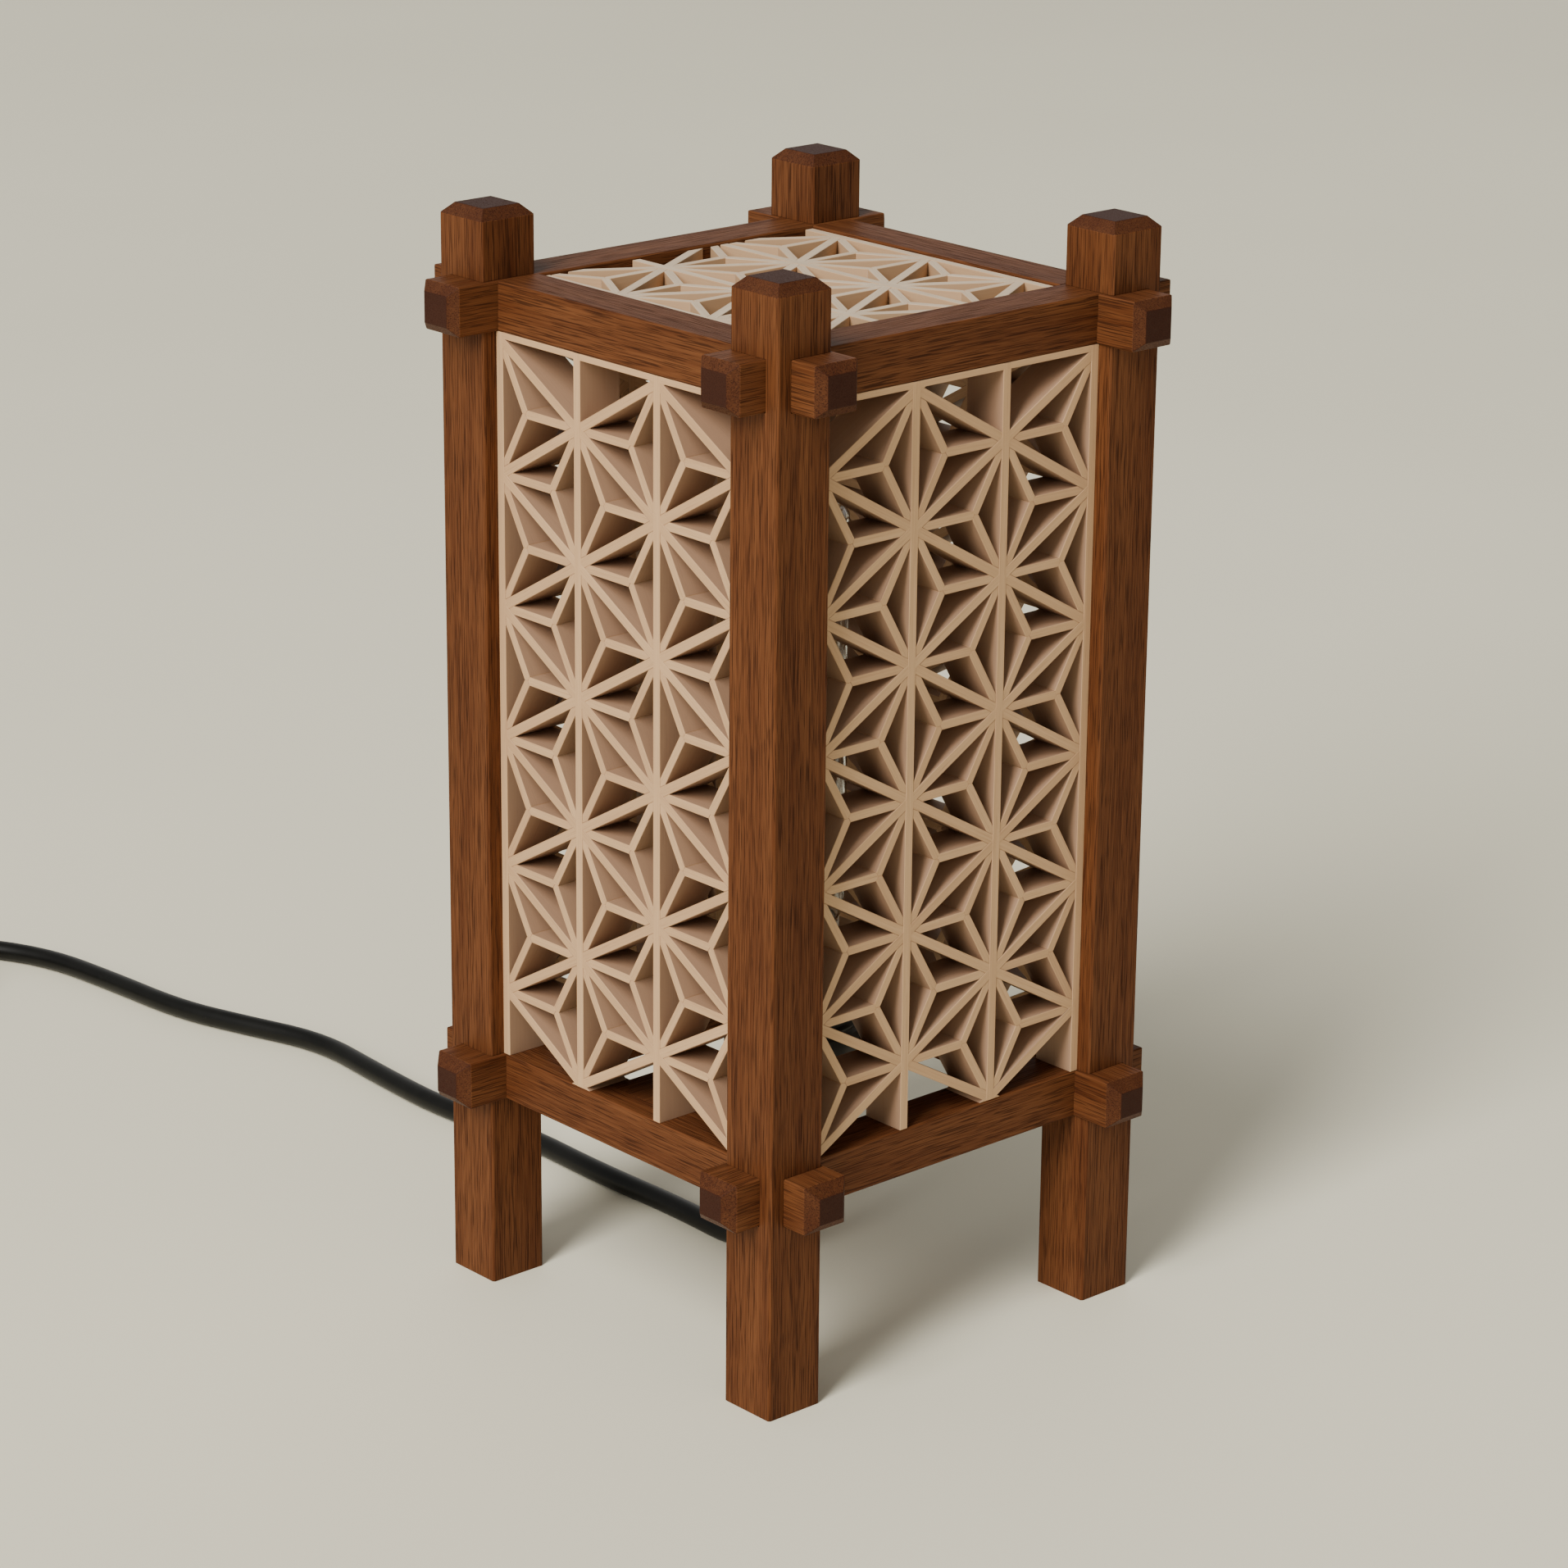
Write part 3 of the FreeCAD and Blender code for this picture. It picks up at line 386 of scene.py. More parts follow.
# Shader nodes
class Tree:
    """A node tree with short calls to add and link nodes."""

    def __init__(self, tree: bpy.types.NodeTree) -> None:
        """Keep the tree that the calls work on."""
        self.tree = tree

    def add(self, kind: str, **settings: object) -> bpy.types.Node:
        """Add a node and set its properties.

        Args:
            kind: Blender's class name of the node.
            settings: Properties of the node.

        Returns:
            The node.
        """
        node = self.tree.nodes.new(kind)
        for key, value in settings.items():
            setattr(node, key, value)
        return node

    def link(self, source: Socket, target: Socket) -> None:
        """Link two sockets."""
        self.tree.links.new(source, target)

    def feed(self, socket: Socket, value: object) -> None:
        """Link a socket to another, or set its value.

        Args:
            socket: Input socket.
            value: An output socket or a plain value.
        """
        if isinstance(value, Socket):
            self.link(value, socket)
        else:
            socket.default_value = value

    def maths(self, operation: str, *values: object) -> Socket:
        """Add a Math node.

        Args:
            operation: Blender's name of the operation.
            values: Sockets or numbers for its inputs.

        Returns:
            Its output.
        """
        node = self.add("ShaderNodeMath", operation=operation)
        for socket, value in zip(node.inputs, values):
            self.feed(socket, value)
        return node.outputs[0]

    def vector(self, operation: str, *values: object) -> bpy.types.Node:
        """Add a Vector Math node.

        Args:
            operation: Blender's name of the operation.
            values: Sockets or vectors for its inputs.

        Returns:
            The node.
        """
        node = self.add("ShaderNodeVectorMath", operation=operation)
        for socket, value in zip(node.inputs, values):
            self.feed(socket, value)
        return node

    def noise(
        self, place: Socket, scale: float, detail: float = 3, rough: float = 0.55,
    ) -> Socket:
        """Add a noise texture.

        Args:
            place: Coordinates.
            scale: Scale of the noise.
            detail: Octaves.
            rough: Strength of the finer octaves.

        Returns:
            Its value.
        """
        node = self.add("ShaderNodeTexNoise", noise_dimensions="3D")
        self.link(place, node.inputs["Vector"])
        for key, number in (("Scale", scale), ("Detail", detail), ("Roughness", rough)):
            node.inputs[key].default_value = number
        return node.outputs[0]

    def step(
        self, value: Socket, low: float, high: float, start: float = 0, end: float = 1,
    ) -> Socket:
        """Spread a value smoothly between two bounds.

        Args:
            value: Value to spread.
            low: Where the result starts.
            high: Where the result ends.
            start: Result at the low bound.
            end: Result at the high bound.

        Returns:
            The result.
        """
        node = self.add("ShaderNodeMapRange", interpolation_type="SMOOTHSTEP")
        self.link(value, node.inputs["Value"])
        for key, number in (("From Min", low), ("From Max", high), ("To Min", start), ("To Max", end)):
            node.inputs[key].default_value = number
        return node.outputs["Result"]

    def mix(self, share: object, first: object, second: object) -> Socket:
        """Mix two colours.

        Args:
            share: Share of the second colour.
            first: First colour.
            second: Second colour.

        Returns:
            The mixed colour.
        """
        node = self.add("ShaderNodeMix", data_type="RGBA", blend_type="MIX")
        self.feed(node.inputs[0], share)
        self.feed(node.inputs[6], first)
        self.feed(node.inputs[7], second)
        return node.outputs[2]

    def placed(self, group: bpy.types.NodeTree, place: Socket) -> bpy.types.NodeOutputs:
        """Place a node group on coordinates.

        Args:
            group: The group.
            place: The coordinates.

        Returns:
            Its outputs.
        """
        node = self.add("ShaderNodeGroup", node_tree=group)
        self.link(place, node.inputs["Vector"])
        return node.outputs

    def attribute(self, name: str, output: str) -> Socket:
        """Read an attribute of the mesh."""
        return self.add("ShaderNodeAttribute", attribute_name=name).outputs[output]

    def bump(
        self, shader: bpy.types.Node, height: Socket, strength: float, depth: float,
    ) -> None:
        """Give a shader's surface a relief.

        Args:
            shader: The shader.
            height: Height of the relief.
            strength: How strongly it shows.
            depth: How deep it is.
        """
        node = self.add("ShaderNodeBump")
        node.inputs["Strength"].default_value = strength
        node.inputs["Distance"].default_value = depth
        self.link(height, node.inputs["Height"])
        self.link(node.outputs[0], shader.inputs["Normal"])


def new_group(name: str, outputs: Iterable[str]) -> tuple[Tree, Socket, bpy.types.Node]:
    """Start a shader node group that takes coordinates and gives values.

    Args:
        name: Name of the group.
        outputs: Name of each value.

    Returns:
        The tree, the socket of the coordinates and the output node.
    """
    group = bpy.data.node_groups.new(name, "ShaderNodeTree")
    group.interface.new_socket("Vector", in_out="INPUT", socket_type="NodeSocketVector")
    for label in outputs:
        group.interface.new_socket(label, in_out="OUTPUT", socket_type="NodeSocketFloat")
    tree = Tree(group)
    return tree, tree.add("NodeGroupInput").outputs["Vector"], tree.add("NodeGroupOutput")


@dataclass(frozen=True)
class Layer:
    """A layer of the wood's figure: waves in a metre along and across the grain, and octaves."""

    along: float
    across: float
    octaves: int
    fineness: float = 0.55


FIGURE = {
    "Bands": Layer(7, 150, 3), "Fibres": Layer(26, 1900, 4, 0.6),
    "Pores": Layer(75, 3400, 1), "Flecks": Layer(260, 900, 2),
}
SWAY = 2.0 * MM
SWAY_WAVES = 9.0
CLOUD_WAVES = 90.0
FINE_WAVES = 2600.0
DUST_WAVES = 900.0
# Where a mask starts to show and where it is full
BROAD_SPREAD = (0.3, 0.7)
FIBRE_SPREAD = (0.25, 0.75)
FLECK_SPREAD = (0.6, 0.75)
END_SPREAD = (0.45, 0.95)
SMEAR_SPREAD = (0.5, 0.8)
DUST_SPREAD = (0.62, 0.74)
DUST_COLOUR = srgb(190, 185, 175)


def fibre_group() -> bpy.types.NodeTree:
    """Build the wood's figure, with the grain along X in metres.

    Returns:
        The group, with Vector in, and a value out for each layer of the figure.
    """
    tree, place, result = new_group("wood_figure", FIGURE)
    wander = tree.noise(place, SWAY_WAVES, 2)
    sway = tree.maths("MULTIPLY", tree.maths("SUBTRACT", wander, 0.5), SWAY)
    lean = tree.add("ShaderNodeCombineXYZ")
    tree.link(sway, lean.inputs["Y"])
    tree.link(sway, lean.inputs["Z"])
    bent = tree.vector("ADD", place, lean.outputs[0]).outputs[0]
    for label, layer in FIGURE.items():
        waves = (layer.along, layer.across, layer.across)
        stretched = tree.vector("MULTIPLY", bent, waves).outputs[0]
        tree.link(tree.noise(stretched, 1.0, layer.octaves, layer.fineness), result.inputs[label])
    return tree.tree


def speckle_group() -> bpy.types.NodeTree:
    """Build the fine unevenness of moulded, rolled and plated surfaces.

    Returns:
        The group, with Vector in, and Cloud, Fine and Dust out.
    """
    tree, place, result = new_group("surface_speckle", ("Cloud", "Fine", "Dust"))
    tree.link(tree.noise(place, CLOUD_WAVES, 3), result.inputs["Cloud"])
    tree.link(tree.noise(place, FINE_WAVES, 2), result.inputs["Fine"])
    dust = tree.step(tree.noise(place, DUST_WAVES, 4, 0.7), *DUST_SPREAD)
    tree.link(dust, result.inputs["Dust"])
    return tree.tree


FIBRES = fibre_group()
SPECKLE = speckle_group()


def new_material(name: str) -> tuple[bpy.types.Material, Tree, bpy.types.Node]:
    """Start a material with a Principled shader.

    Args:
        name: Name of the material.

    Returns:
        The material, its tree and the shader.
    """
    made = bpy.data.materials.new(name)
    made.use_nodes = True
    tree = Tree(made.node_tree)
    return made, tree, made.node_tree.nodes["Principled BSDF"]


class Grain(Enum):
    """Way that the grain of a piece runs: along an axis of the lamp, or along each slip of a lattice."""

    ALONG_X = (0.0, 0.0, 0.0)
    ALONG_Y = (0.0, 0.0, -90.0)
    ALONG_Z = (0.0, 90.0, 0.0)
    SLIP = None


@dataclass(frozen=True)
class TimberFinish:
    """Timber: its colours, how strongly its figure shows, and its sheen."""

    name: str
    dark: Colour
    light: Colour
    pore: Colour
    end: Colour
    pore_strength: float
    pore_spread: tuple[float, float]
    fleck_strength: float
    roughness: float
    sheen: float
    relief: float
    # Painted shade: darker colour put on the side faces of slips and leaves, standing in for the shade
    # inside the lattice
    painted_flank_shade: Colour | None = None
    band_share: float = 0.35
    end_strength: float = 0.9
    painted_flank_shade_strength: float = 0.75
    fibre_polish: float = 0.08
    fibre_height: float = 0.35
    pore_dullness: float = 0.2
    relief_depth: float = 0.08 * MM

    def laid(
        self, tree: Tree, grain: Grain, shift: Sequence[float],
    ) -> tuple[Socket, Socket]:
        """Lay the figure along a piece's grain.

        Args:
            tree: Tree of the material.
            grain: Way of the grain.
            shift: Place of the piece in its board.

        Returns:
            The coordinates of the figure, and how far a face shows end grain.
        """
        source = tree.add("ShaderNodeTexCoord")
        turn = [math.radians(angle) for angle in grain.value]
        mapping = tree.add("ShaderNodeMapping")
        tree.link(source.outputs["Object"], mapping.inputs["Vector"])
        mapping.inputs["Location"].default_value = shift
        mapping.inputs["Rotation"].default_value = turn
        facing = tree.add("ShaderNodeMapping", vector_type="VECTOR")
        tree.link(source.outputs["Normal"], facing.inputs["Vector"])
        facing.inputs["Rotation"].default_value = turn
        split = tree.add("ShaderNodeSeparateXYZ")
        tree.link(facing.outputs[0], split.inputs[0])
        return mapping.outputs[0], tree.step(tree.maths("ABSOLUTE", split.outputs["X"]), *END_SPREAD)

    def made(self, label: str, grain: Grain, shift: Sequence[float] = (0, 0, 0)) -> bpy.types.Material:
        """Make the material for one piece.

        Args:
            label: Name of the piece, added to the finish's name.
            grain: Way of the grain.
            shift: Place of the piece in its board, so that no two pieces match.

        Returns:
            The material.
        """
        made, tree, shader = new_material(f"{self.name}_{label}")
        if grain is Grain.SLIP:
            place = tree.attribute("grain", "Vector")
        else:
            place, end_share = self.laid(tree, grain, shift)
        figure = tree.placed(FIBRES, place)
        bands = tree.step(figure["Bands"], *BROAD_SPREAD)
        fibres = tree.step(figure["Fibres"], *FIBRE_SPREAD)
        fine = tree.maths("MULTIPLY", fibres, 1 - self.band_share)
        blend = tree.maths("MULTIPLY_ADD", bands, self.band_share, fine)
        colour = tree.mix(blend, self.dark, self.light)
        pores = tree.step(figure["Pores"], *self.pore_spread)
        colour = tree.mix(tree.maths("MULTIPLY", pores, self.pore_strength), colour, self.pore)
        flecks = tree.step(figure["Flecks"], *FLECK_SPREAD)
        colour = tree.mix(tree.maths("MULTIPLY", flecks, self.fleck_strength), colour, self.light)
        if grain is Grain.SLIP:
            colour = tree.mix(tree.attribute("tone", "Fac"), colour, self.end)
            # Painted shade: side faces inside the panel's depth take the darker flank colour
            painted_flank_shade = tree.maths("MULTIPLY", tree.attribute("painted_flank_shade", "Fac"), self.painted_flank_shade_strength)
            colour = tree.mix(painted_flank_shade, colour, self.painted_flank_shade)
        else:
            colour = tree.mix(tree.maths("MULTIPLY", end_share, self.end_strength), colour, self.end)
        tree.link(colour, shader.inputs["Base Color"])
        rough = tree.maths("MULTIPLY_ADD", fibres, -self.fibre_polish, self.roughness)
        rough = tree.maths("MULTIPLY_ADD", pores, self.pore_dullness, rough)
        tree.link(rough, shader.inputs["Roughness"])
        shader.inputs["Specular IOR Level"].default_value = self.sheen
        height = tree.maths("SUBTRACT", tree.maths("MULTIPLY", fibres, self.fibre_height), pores)
        tree.bump(shader, height, self.relief, self.relief_depth)
        return made


@dataclass(frozen=True)
class MouldedFinish:
    """Moulded, rolled or plated surface with a fine unevenness."""

    name: str
    low: Colour
    high: Colour
    roughness: float
    metallic: float = 0.0
    grain: float = 0.15
    grain_depth: float = 0.05 * MM
    unevenness: float = 0.16
    dust: float = 0.0
    sheen: float = 0.5

    def made(self) -> bpy.types.Material:
        """Make the material.

        Returns:
            The material.
        """
        made, tree, shader = new_material(self.name)
        speckle = tree.placed(SPECKLE, tree.add("ShaderNodeTexCoord").outputs["Object"])
        colour = tree.mix(tree.step(speckle["Cloud"], *BROAD_SPREAD), self.low, self.high)
        if self.dust:
            colour = tree.mix(tree.maths("MULTIPLY", speckle["Dust"], self.dust), colour, DUST_COLOUR)
        tree.link(colour, shader.inputs["Base Color"])
        smoothest = self.roughness - self.unevenness / 2
        rough = tree.maths("MULTIPLY_ADD", speckle["Fine"], self.unevenness, smoothest)
        tree.link(rough, shader.inputs["Roughness"])
        shader.inputs["Metallic"].default_value = self.metallic
        shader.inputs["Specular IOR Level"].default_value = self.sheen
        tree.bump(shader, speckle["Fine"], self.grain, self.grain_depth)
        return made


@dataclass(frozen=True)
class GlassFinish:
    """Clear blown glass with faint smears."""

    name: str
    colour: Colour
    smeared: Colour
    roughness: float
    smear_roughness: float = 0.05
    index: float = 1.47

    def made(self) -> bpy.types.Material:
        """Make the material.

        Returns:
            The material.
        """
        made, tree, shader = new_material(self.name)
        speckle = tree.placed(SPECKLE, tree.add("ShaderNodeTexCoord").outputs["Object"])
        smears = tree.step(speckle["Cloud"], *SMEAR_SPREAD)
        tree.link(tree.mix(smears, self.colour, self.smeared), shader.inputs["Base Color"])
        rough = tree.maths("MULTIPLY_ADD", smears, self.smear_roughness, self.roughness)
        tree.link(rough, shader.inputs["Roughness"])
        shader.inputs["Transmission Weight"].default_value = 1.0
        shader.inputs["IOR"].default_value = self.index
        return made


MAHOGANY = TimberFinish(
    name="oiled_mahogany", dark=srgb(73, 36, 16), light=srgb(110, 67, 38), pore=srgb(34, 13, 5),
    end=srgb(46, 22, 15), pore_strength=0.68, pore_spread=(0.5, 0.64), fleck_strength=0.12,
    roughness=0.56, sheen=0.1, relief=0.35,
)
BASSWOOD = TimberFinish(
    name="planed_basswood", dark=srgb(186, 148, 110), light=srgb(202, 166, 126),
    pore=srgb(150, 112, 80), end=srgb(168, 130, 96), painted_flank_shade=srgb(150, 118, 96), pore_strength=0.3,
    pore_spread=(0.6, 0.74), fleck_strength=0.1, roughness=0.66, sheen=0.4, relief=0.2,
)
# Painted light: a lighter, greyer copy of the basswood for the top panel, standing in for the light and
# grazing sheen on its upward faces; its warmer flank colour is painted shade between the facets
LIT_TOP_BASSWOOD = replace(
    BASSWOOD, name="planed_basswood_top", dark=srgb(196, 174, 148), light=srgb(210, 190, 164),
    end=srgb(186, 160, 132), painted_flank_shade=srgb(190, 150, 108),
)
BLACK_PLASTIC = MouldedFinish("black_plastic", srgb(20, 20, 20), srgb(30, 30, 29), 0.42, dust=0.06)
BLACK_LEAD = MouldedFinish(
    "black_lead_cover", srgb(8, 8, 7), srgb(14, 14, 12), 0.38, grain=0.2, dust=0.02, sheen=0.22,
)
BLACK_GLASS = MouldedFinish("black_glass", srgb(16, 16, 18), srgb(26, 26, 28), 0.16, grain=0.05)
WHITE_PLASTIC = MouldedFinish("white_plastic", srgb(222, 220, 214), srgb(234, 232, 227), 0.4)
CLEAR_GLASS = GlassFinish("clear_glass", srgb(250, 252, 250), srgb(240, 243, 240), 0.01)
BRASS = MouldedFinish("rolled_brass", srgb(176, 134, 62), srgb(205, 164, 88), 0.3, metallic=1.0)
NICKEL = MouldedFinish("plated_nickel", srgb(168, 164, 156), srgb(196, 192, 184), 0.28, metallic=1.0)
STEEL = MouldedFinish("plated_steel", srgb(150, 150, 150), srgb(182, 182, 182), 0.32, metallic=1.0)


# Timber frame
@dataclass
class TimberFrame:
    """Posts, rails, cleats and cross-bar: solids with eased edges, each from a board of its own."""

    sides: tuple[str, ...] = ("front", "right", "back", "left")
    along_x: tuple[str, ...] = ("front", "back")
    board_step: tuple[float, float, float] = (0.37, 0.13, 0.29)
    easing: float = 0.16 * MM

    def build(self) -> None:
        """Plane every timber, with its grain along its length."""
        timbers = [(f"post_{side}", Grain.ALONG_Z) for side in self.sides]
        for level in ("top", "bottom"):
            for side in self.sides:
                grain = Grain.ALONG_X if side in self.along_x else Grain.ALONG_Y
                timbers.append((f"{level}_rail_{side}", grain))
        timbers += [("cleat_left", Grain.ALONG_Y), ("cleat_right", Grain.ALONG_Y)]
        timbers.append(("cross_bar", Grain.ALONG_X))
        for number, (name, grain) in enumerate(timbers, start=1):
            shift = [step * number for step in self.board_step]
            piece = eased_copy(name, f"{name}_timber", self.easing)
            installed(piece, MAHOGANY.made(name, grain, shift), "frame", "dark_wood", name)


# Hemp-leaf lattices
@dataclass
class Lattice:
    """A panel of strips and leaves, drawn in its own plane: X across, Z up, and Y from back to face.

    A slanting set, falling or rising, has two counts: the rows from the first node down to its
    lowest strip, and its strips.
    """

    name: str
    grid_node: str
    leaf_node: str
    body: str
    opening: float
    low: float
    high: float
    first_node: float
    row: float
    depth: float
    falling: tuple[int, int]
    rising: tuple[int, int]
    cap: float
    timber: TimberFinish
    places: dict[str, Matrix]
    columns: int = 3
    strip: float = 3.0 * MM
    leaf: float = 2.7 * MM
    margin: float = 10.0 * MM
    set_down: float = 0.04 * MM
    easing: float = 0.12 * MM
    leaf_overlap: float = 0.3
    board: float = 4.0
    shade: float = 0.35
    rows_tried: range = range(-3, 9)
    slack: float = 0.01 * MM
    chance: random.Random = field(default_factory=lambda: random.Random(7))

    @property
    def column(self) -> float:
        """Distance from one upright strip to the next."""
        return (self.opening - self.strip) / self.columns

    @property
    def slope(self) -> float:
        """Rise of a slanting strip for each step across."""
        return self.row / 2 / self.column

    def slip(self, start: Vector, end: Vector, width: float, sunk: float) -> Piece:
        """Saw out a straight slip with grain coordinates of its own.

        Args:
            start: Start of its middle line, in the panel's plane.
            end: End of its middle line.
            width: Its thickness in the plane.
            sunk: How far its two faces lie below the panel's faces.

        Returns:
            The slip, in its place in the panel.
        """
        way = end - start
        half = way.length / 2
        piece = block("slip", (-half, sunk, -width / 2), (half, self.depth - sunk, width / 2))
        grain = piece.data.attributes.new("grain", "FLOAT_VECTOR", "POINT")
        for point, vertex in zip(grain.data, piece.data.vertices):
            point.vector = vertex.co
        piece.data.attributes.new("tone", "FLOAT", "POINT")
        # Painted shade mask: each face's share of the darker flank colour, full on the side faces inside
        # the panel's depth
        painted_flank_shade = piece.data.attributes.new("painted_flank_shade", "FLOAT", "FACE")
        for share, face in zip(painted_flank_shade.data, piece.data.polygons):
            share.value = 1 - abs(face.normal.y)
        middle = (start + end) / 2
        piece.rotation_euler = (0, -math.atan2(way.z, way.x), 0)
        piece.location = (middle.x, 0, middle.z)
        settle(piece)
        return piece

    def shuffled(self, piece: Piece) -> Piece:
        """Take a slip from another part of the board, by chance a little darker.

        Args:
            piece: The slip.

        Returns:
            The slip.
        """
        away = Vector([self.chance.uniform(0, self.board) for _ in range(3)])
        shade = self.chance.uniform(0, self.shade)
        for point in piece.data.attributes["grain"].data:
            point.vector = Vector(point.vector) + away
        for point in piece.data.attributes["tone"].data:
            point.value = shade
        return piece

    def trimmed(self, piece: Piece) -> Piece:
        """Saw a slip off at the edges of the opening.

        Args:
            piece: The slip.

        Returns:
            The slip.
        """
        edges = (
            ((0, 0, 0), (-1, 0, 0)), ((self.opening, 0, 0), (1, 0, 0)),
            ((0, 0, self.low), (0, 0, -1)), ((0, 0, self.high), (0, 0, 1)),
        )
        for point, outward in edges:
            way = Vector(outward)
            if any((vertex.co - Vector(point)).dot(way) > self.slack for vertex in piece.data.vertices):
                saw(piece, point, outward)
        return piece

    def grid(self) -> list[Piece]:
        """Saw all the strips: uprights, the two slanting sets and the cap.

        Returns:
            The strips.
        """
        strips = []
        for index in range(self.columns + 1):
            across = self.strip / 2 + self.column * index
            ends = Vector((across, 0, self.low)), Vector((across, 0, self.high))
            strips.append(self.slip(*ends, self.strip, 0))
        slants = ((self.falling, -1, self.set_down), (self.rising, 1, 2 * self.set_down))
        over = self.strip
        for (lowest, count), way, sunk in slants:
            for number in range(count):
                node = self.first_node - (lowest - number) * self.row
                rise = way * self.slope
                near = Vector((-over, 0, node - rise * (over + self.strip / 2)))
                beyond = self.opening + over
                far = Vector((beyond, 0, node + rise * (beyond - self.strip / 2)))
                strips.append(self.trimmed(self.slip(near, far, self.strip, sunk)))
        if self.cap:
            level = self.high - self.cap / 2
            ends = Vector((0, 0, level)), Vector((self.opening, 0, level))
            strips.append(self.slip(*ends, self.cap, self.set_down / 2))
        for piece in strips:
            ease(piece, self.easing)
        return strips

    def star(self, corners: Sequence[Vector]) -> list[Piece]:
        """Fit three leaves into a triangle of strips.

        Args:
            corners: Nodes of the grid at the triangle's corners.

        Returns:
            The three leaves.
        """
        sides = [(corners[(index + 2) % 3] - corners[(index + 1) % 3]).length for index in range(3)]
        middle = sum((corner * side for corner, side in zip(corners, sides)), Vector()) / sum(sides)
        leaves = []
        for index, corner in enumerate(corners):
            foot = middle - (corner - middle) * self.leaf_overlap
            leaf = self.slip(foot, corner, self.leaf, 3 * self.set_down)
            for other in (corners[(index + 1) % 3], corners[(index + 2) % 3]):
                # Pointed end, between the two strips that meet at the corner
                edge = (other - corner).normalized()
                square = Vector((-edge.z, 0, edge.x))
                outward = square if square.dot(middle - corner) < 0 else -square
                saw(leaf, corner - outward * self.strip / 2, outward)
                # Mitre against the next leaf
                mitre = ((corner - middle).normalized() + (other - middle).normalized()).normalized()
                along = Vector((-mitre.z, 0, mitre.x))
                waste = along if along.dot(corner - middle) < 0 else -along
                saw(leaf, middle, waste)
            leaves.append(leaf)
        return leaves

    def triangles(self) -> list[tuple[bool, Vector]]:
        """List the triangles that leaves fill.

        Returns:
            For each, whether it points to the right, and its upper corner on the upright strip.
        """
        found = []
        for index in range(self.columns):
            left = self.strip / 2 + self.column * index
            shift = 0.5 * (index % 2)
            for number in self.rows_tried:
                level = self.first_node - (number + shift) * self.row
                for points_right in (True, False):
                    across = left if points_right else left + self.column
                    upper = level if points_right else level - self.row / 2
                    centre = upper - self.row / 2
                    if self.low + self.margin <= centre <= self.high - self.margin:
                        found.append((points_right, Vector((across, 0, upper))))
        return found

    def leaves(self) -> list[Piece]:
        """Fit all the leaves, copied from one star for each way that a triangle points.

        Returns:
            The leaves.
        """
        patterns = {}
        for points_right in (True, False):
            reach = self.column if points_right else -self.column
            corners = [Vector(), Vector((0, 0, -self.row)), Vector((reach, 0, -self.row / 2))]
            patterns[points_right] = self.star(corners)
            for leaf in patterns[points_right]:
                ease(leaf, self.easing)
        fitted = []
        for points_right, upper in self.triangles():
            for leaf in patterns[points_right]:
                fitted.append(self.trimmed(copied(leaf, "leaf", Matrix.Translation(upper))))
        for pattern in patterns.values():
            for leaf in pattern:
                thrown_away(leaf)
        return fitted

    def build(self) -> None:
        """Make the strips and leaves once, then a shuffled copy for each place."""
        finish = self.timber.made(self.name, Grain.SLIP)
        for slips, node in ((self.grid(), self.grid_node), (self.leaves(), self.leaf_node)):
            for side, place in self.places.items():
                name = node.format(side=side)
                piece = joined(
                    f"{name}_slips", [self.shuffled(copied(slip, "slip", place)) for slip in slips],
                )
                installed(piece, finish, self.body, "pale_wood", name)
            for slip in slips:
                thrown_away(slip)


def side_lattice() -> Lattice:
    """Describe the four side lattices.

    Returns:
        The lattice, with its four places.
    """
    places = {}
    for side, angle in (("front", 180), ("right", 90), ("left", 270), ("back", 0)):
        low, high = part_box(f"grid_{side}")
        across = low.x if side in ("back", "left") else high.x
        along = low.y if side in ("back", "right") else high.y
        turn = Matrix.Rotation(math.radians(angle), 4, "Z")
        places[side] = Matrix.Translation((across, along, 0)) @ turn
    # The back lattice comes last, and its box gives the sizes of all four
    opening = high.x - low.x
    return Lattice(
        name="side_lattice", grid_node="grid_{side}", leaf_node="leaves_{side}", body="frame",
        opening=opening, low=low.z, high=high.z, first_node=301.7 * MM, row=40.9 * MM,
        depth=high.y - low.y, falling=(5, 7), rising=(6, 6), cap=2 * MM, timber=BASSWOOD, places=places,
    )


def top_lattice() -> Lattice:
    """Describe the top lattice, which lies with its face up.

    Returns:
        The lattice, with its one place.
    """
    low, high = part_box("top_grid")
    opening = high.x - low.x
    row = (opening - Lattice.strip) / Lattice.columns * 2 / math.sqrt(3)
    place = Matrix.Translation((low.x, low.y, high.z)) @ Matrix.Rotation(math.radians(-90), 4, "X")
    return Lattice(
        name="top_lattice", grid_node="top_grid", leaf_node="top_leaves", body="top_panel",
        opening=opening, low=0, high=opening, first_node=opening / 2 + 1.5 * row, row=row,
        depth=high.z - low.z, falling=(2, 4), rising=(4, 4), cap=0, timber=LIT_TOP_BASSWOOD,
        places={"top": place}, chance=random.Random(19),
    )


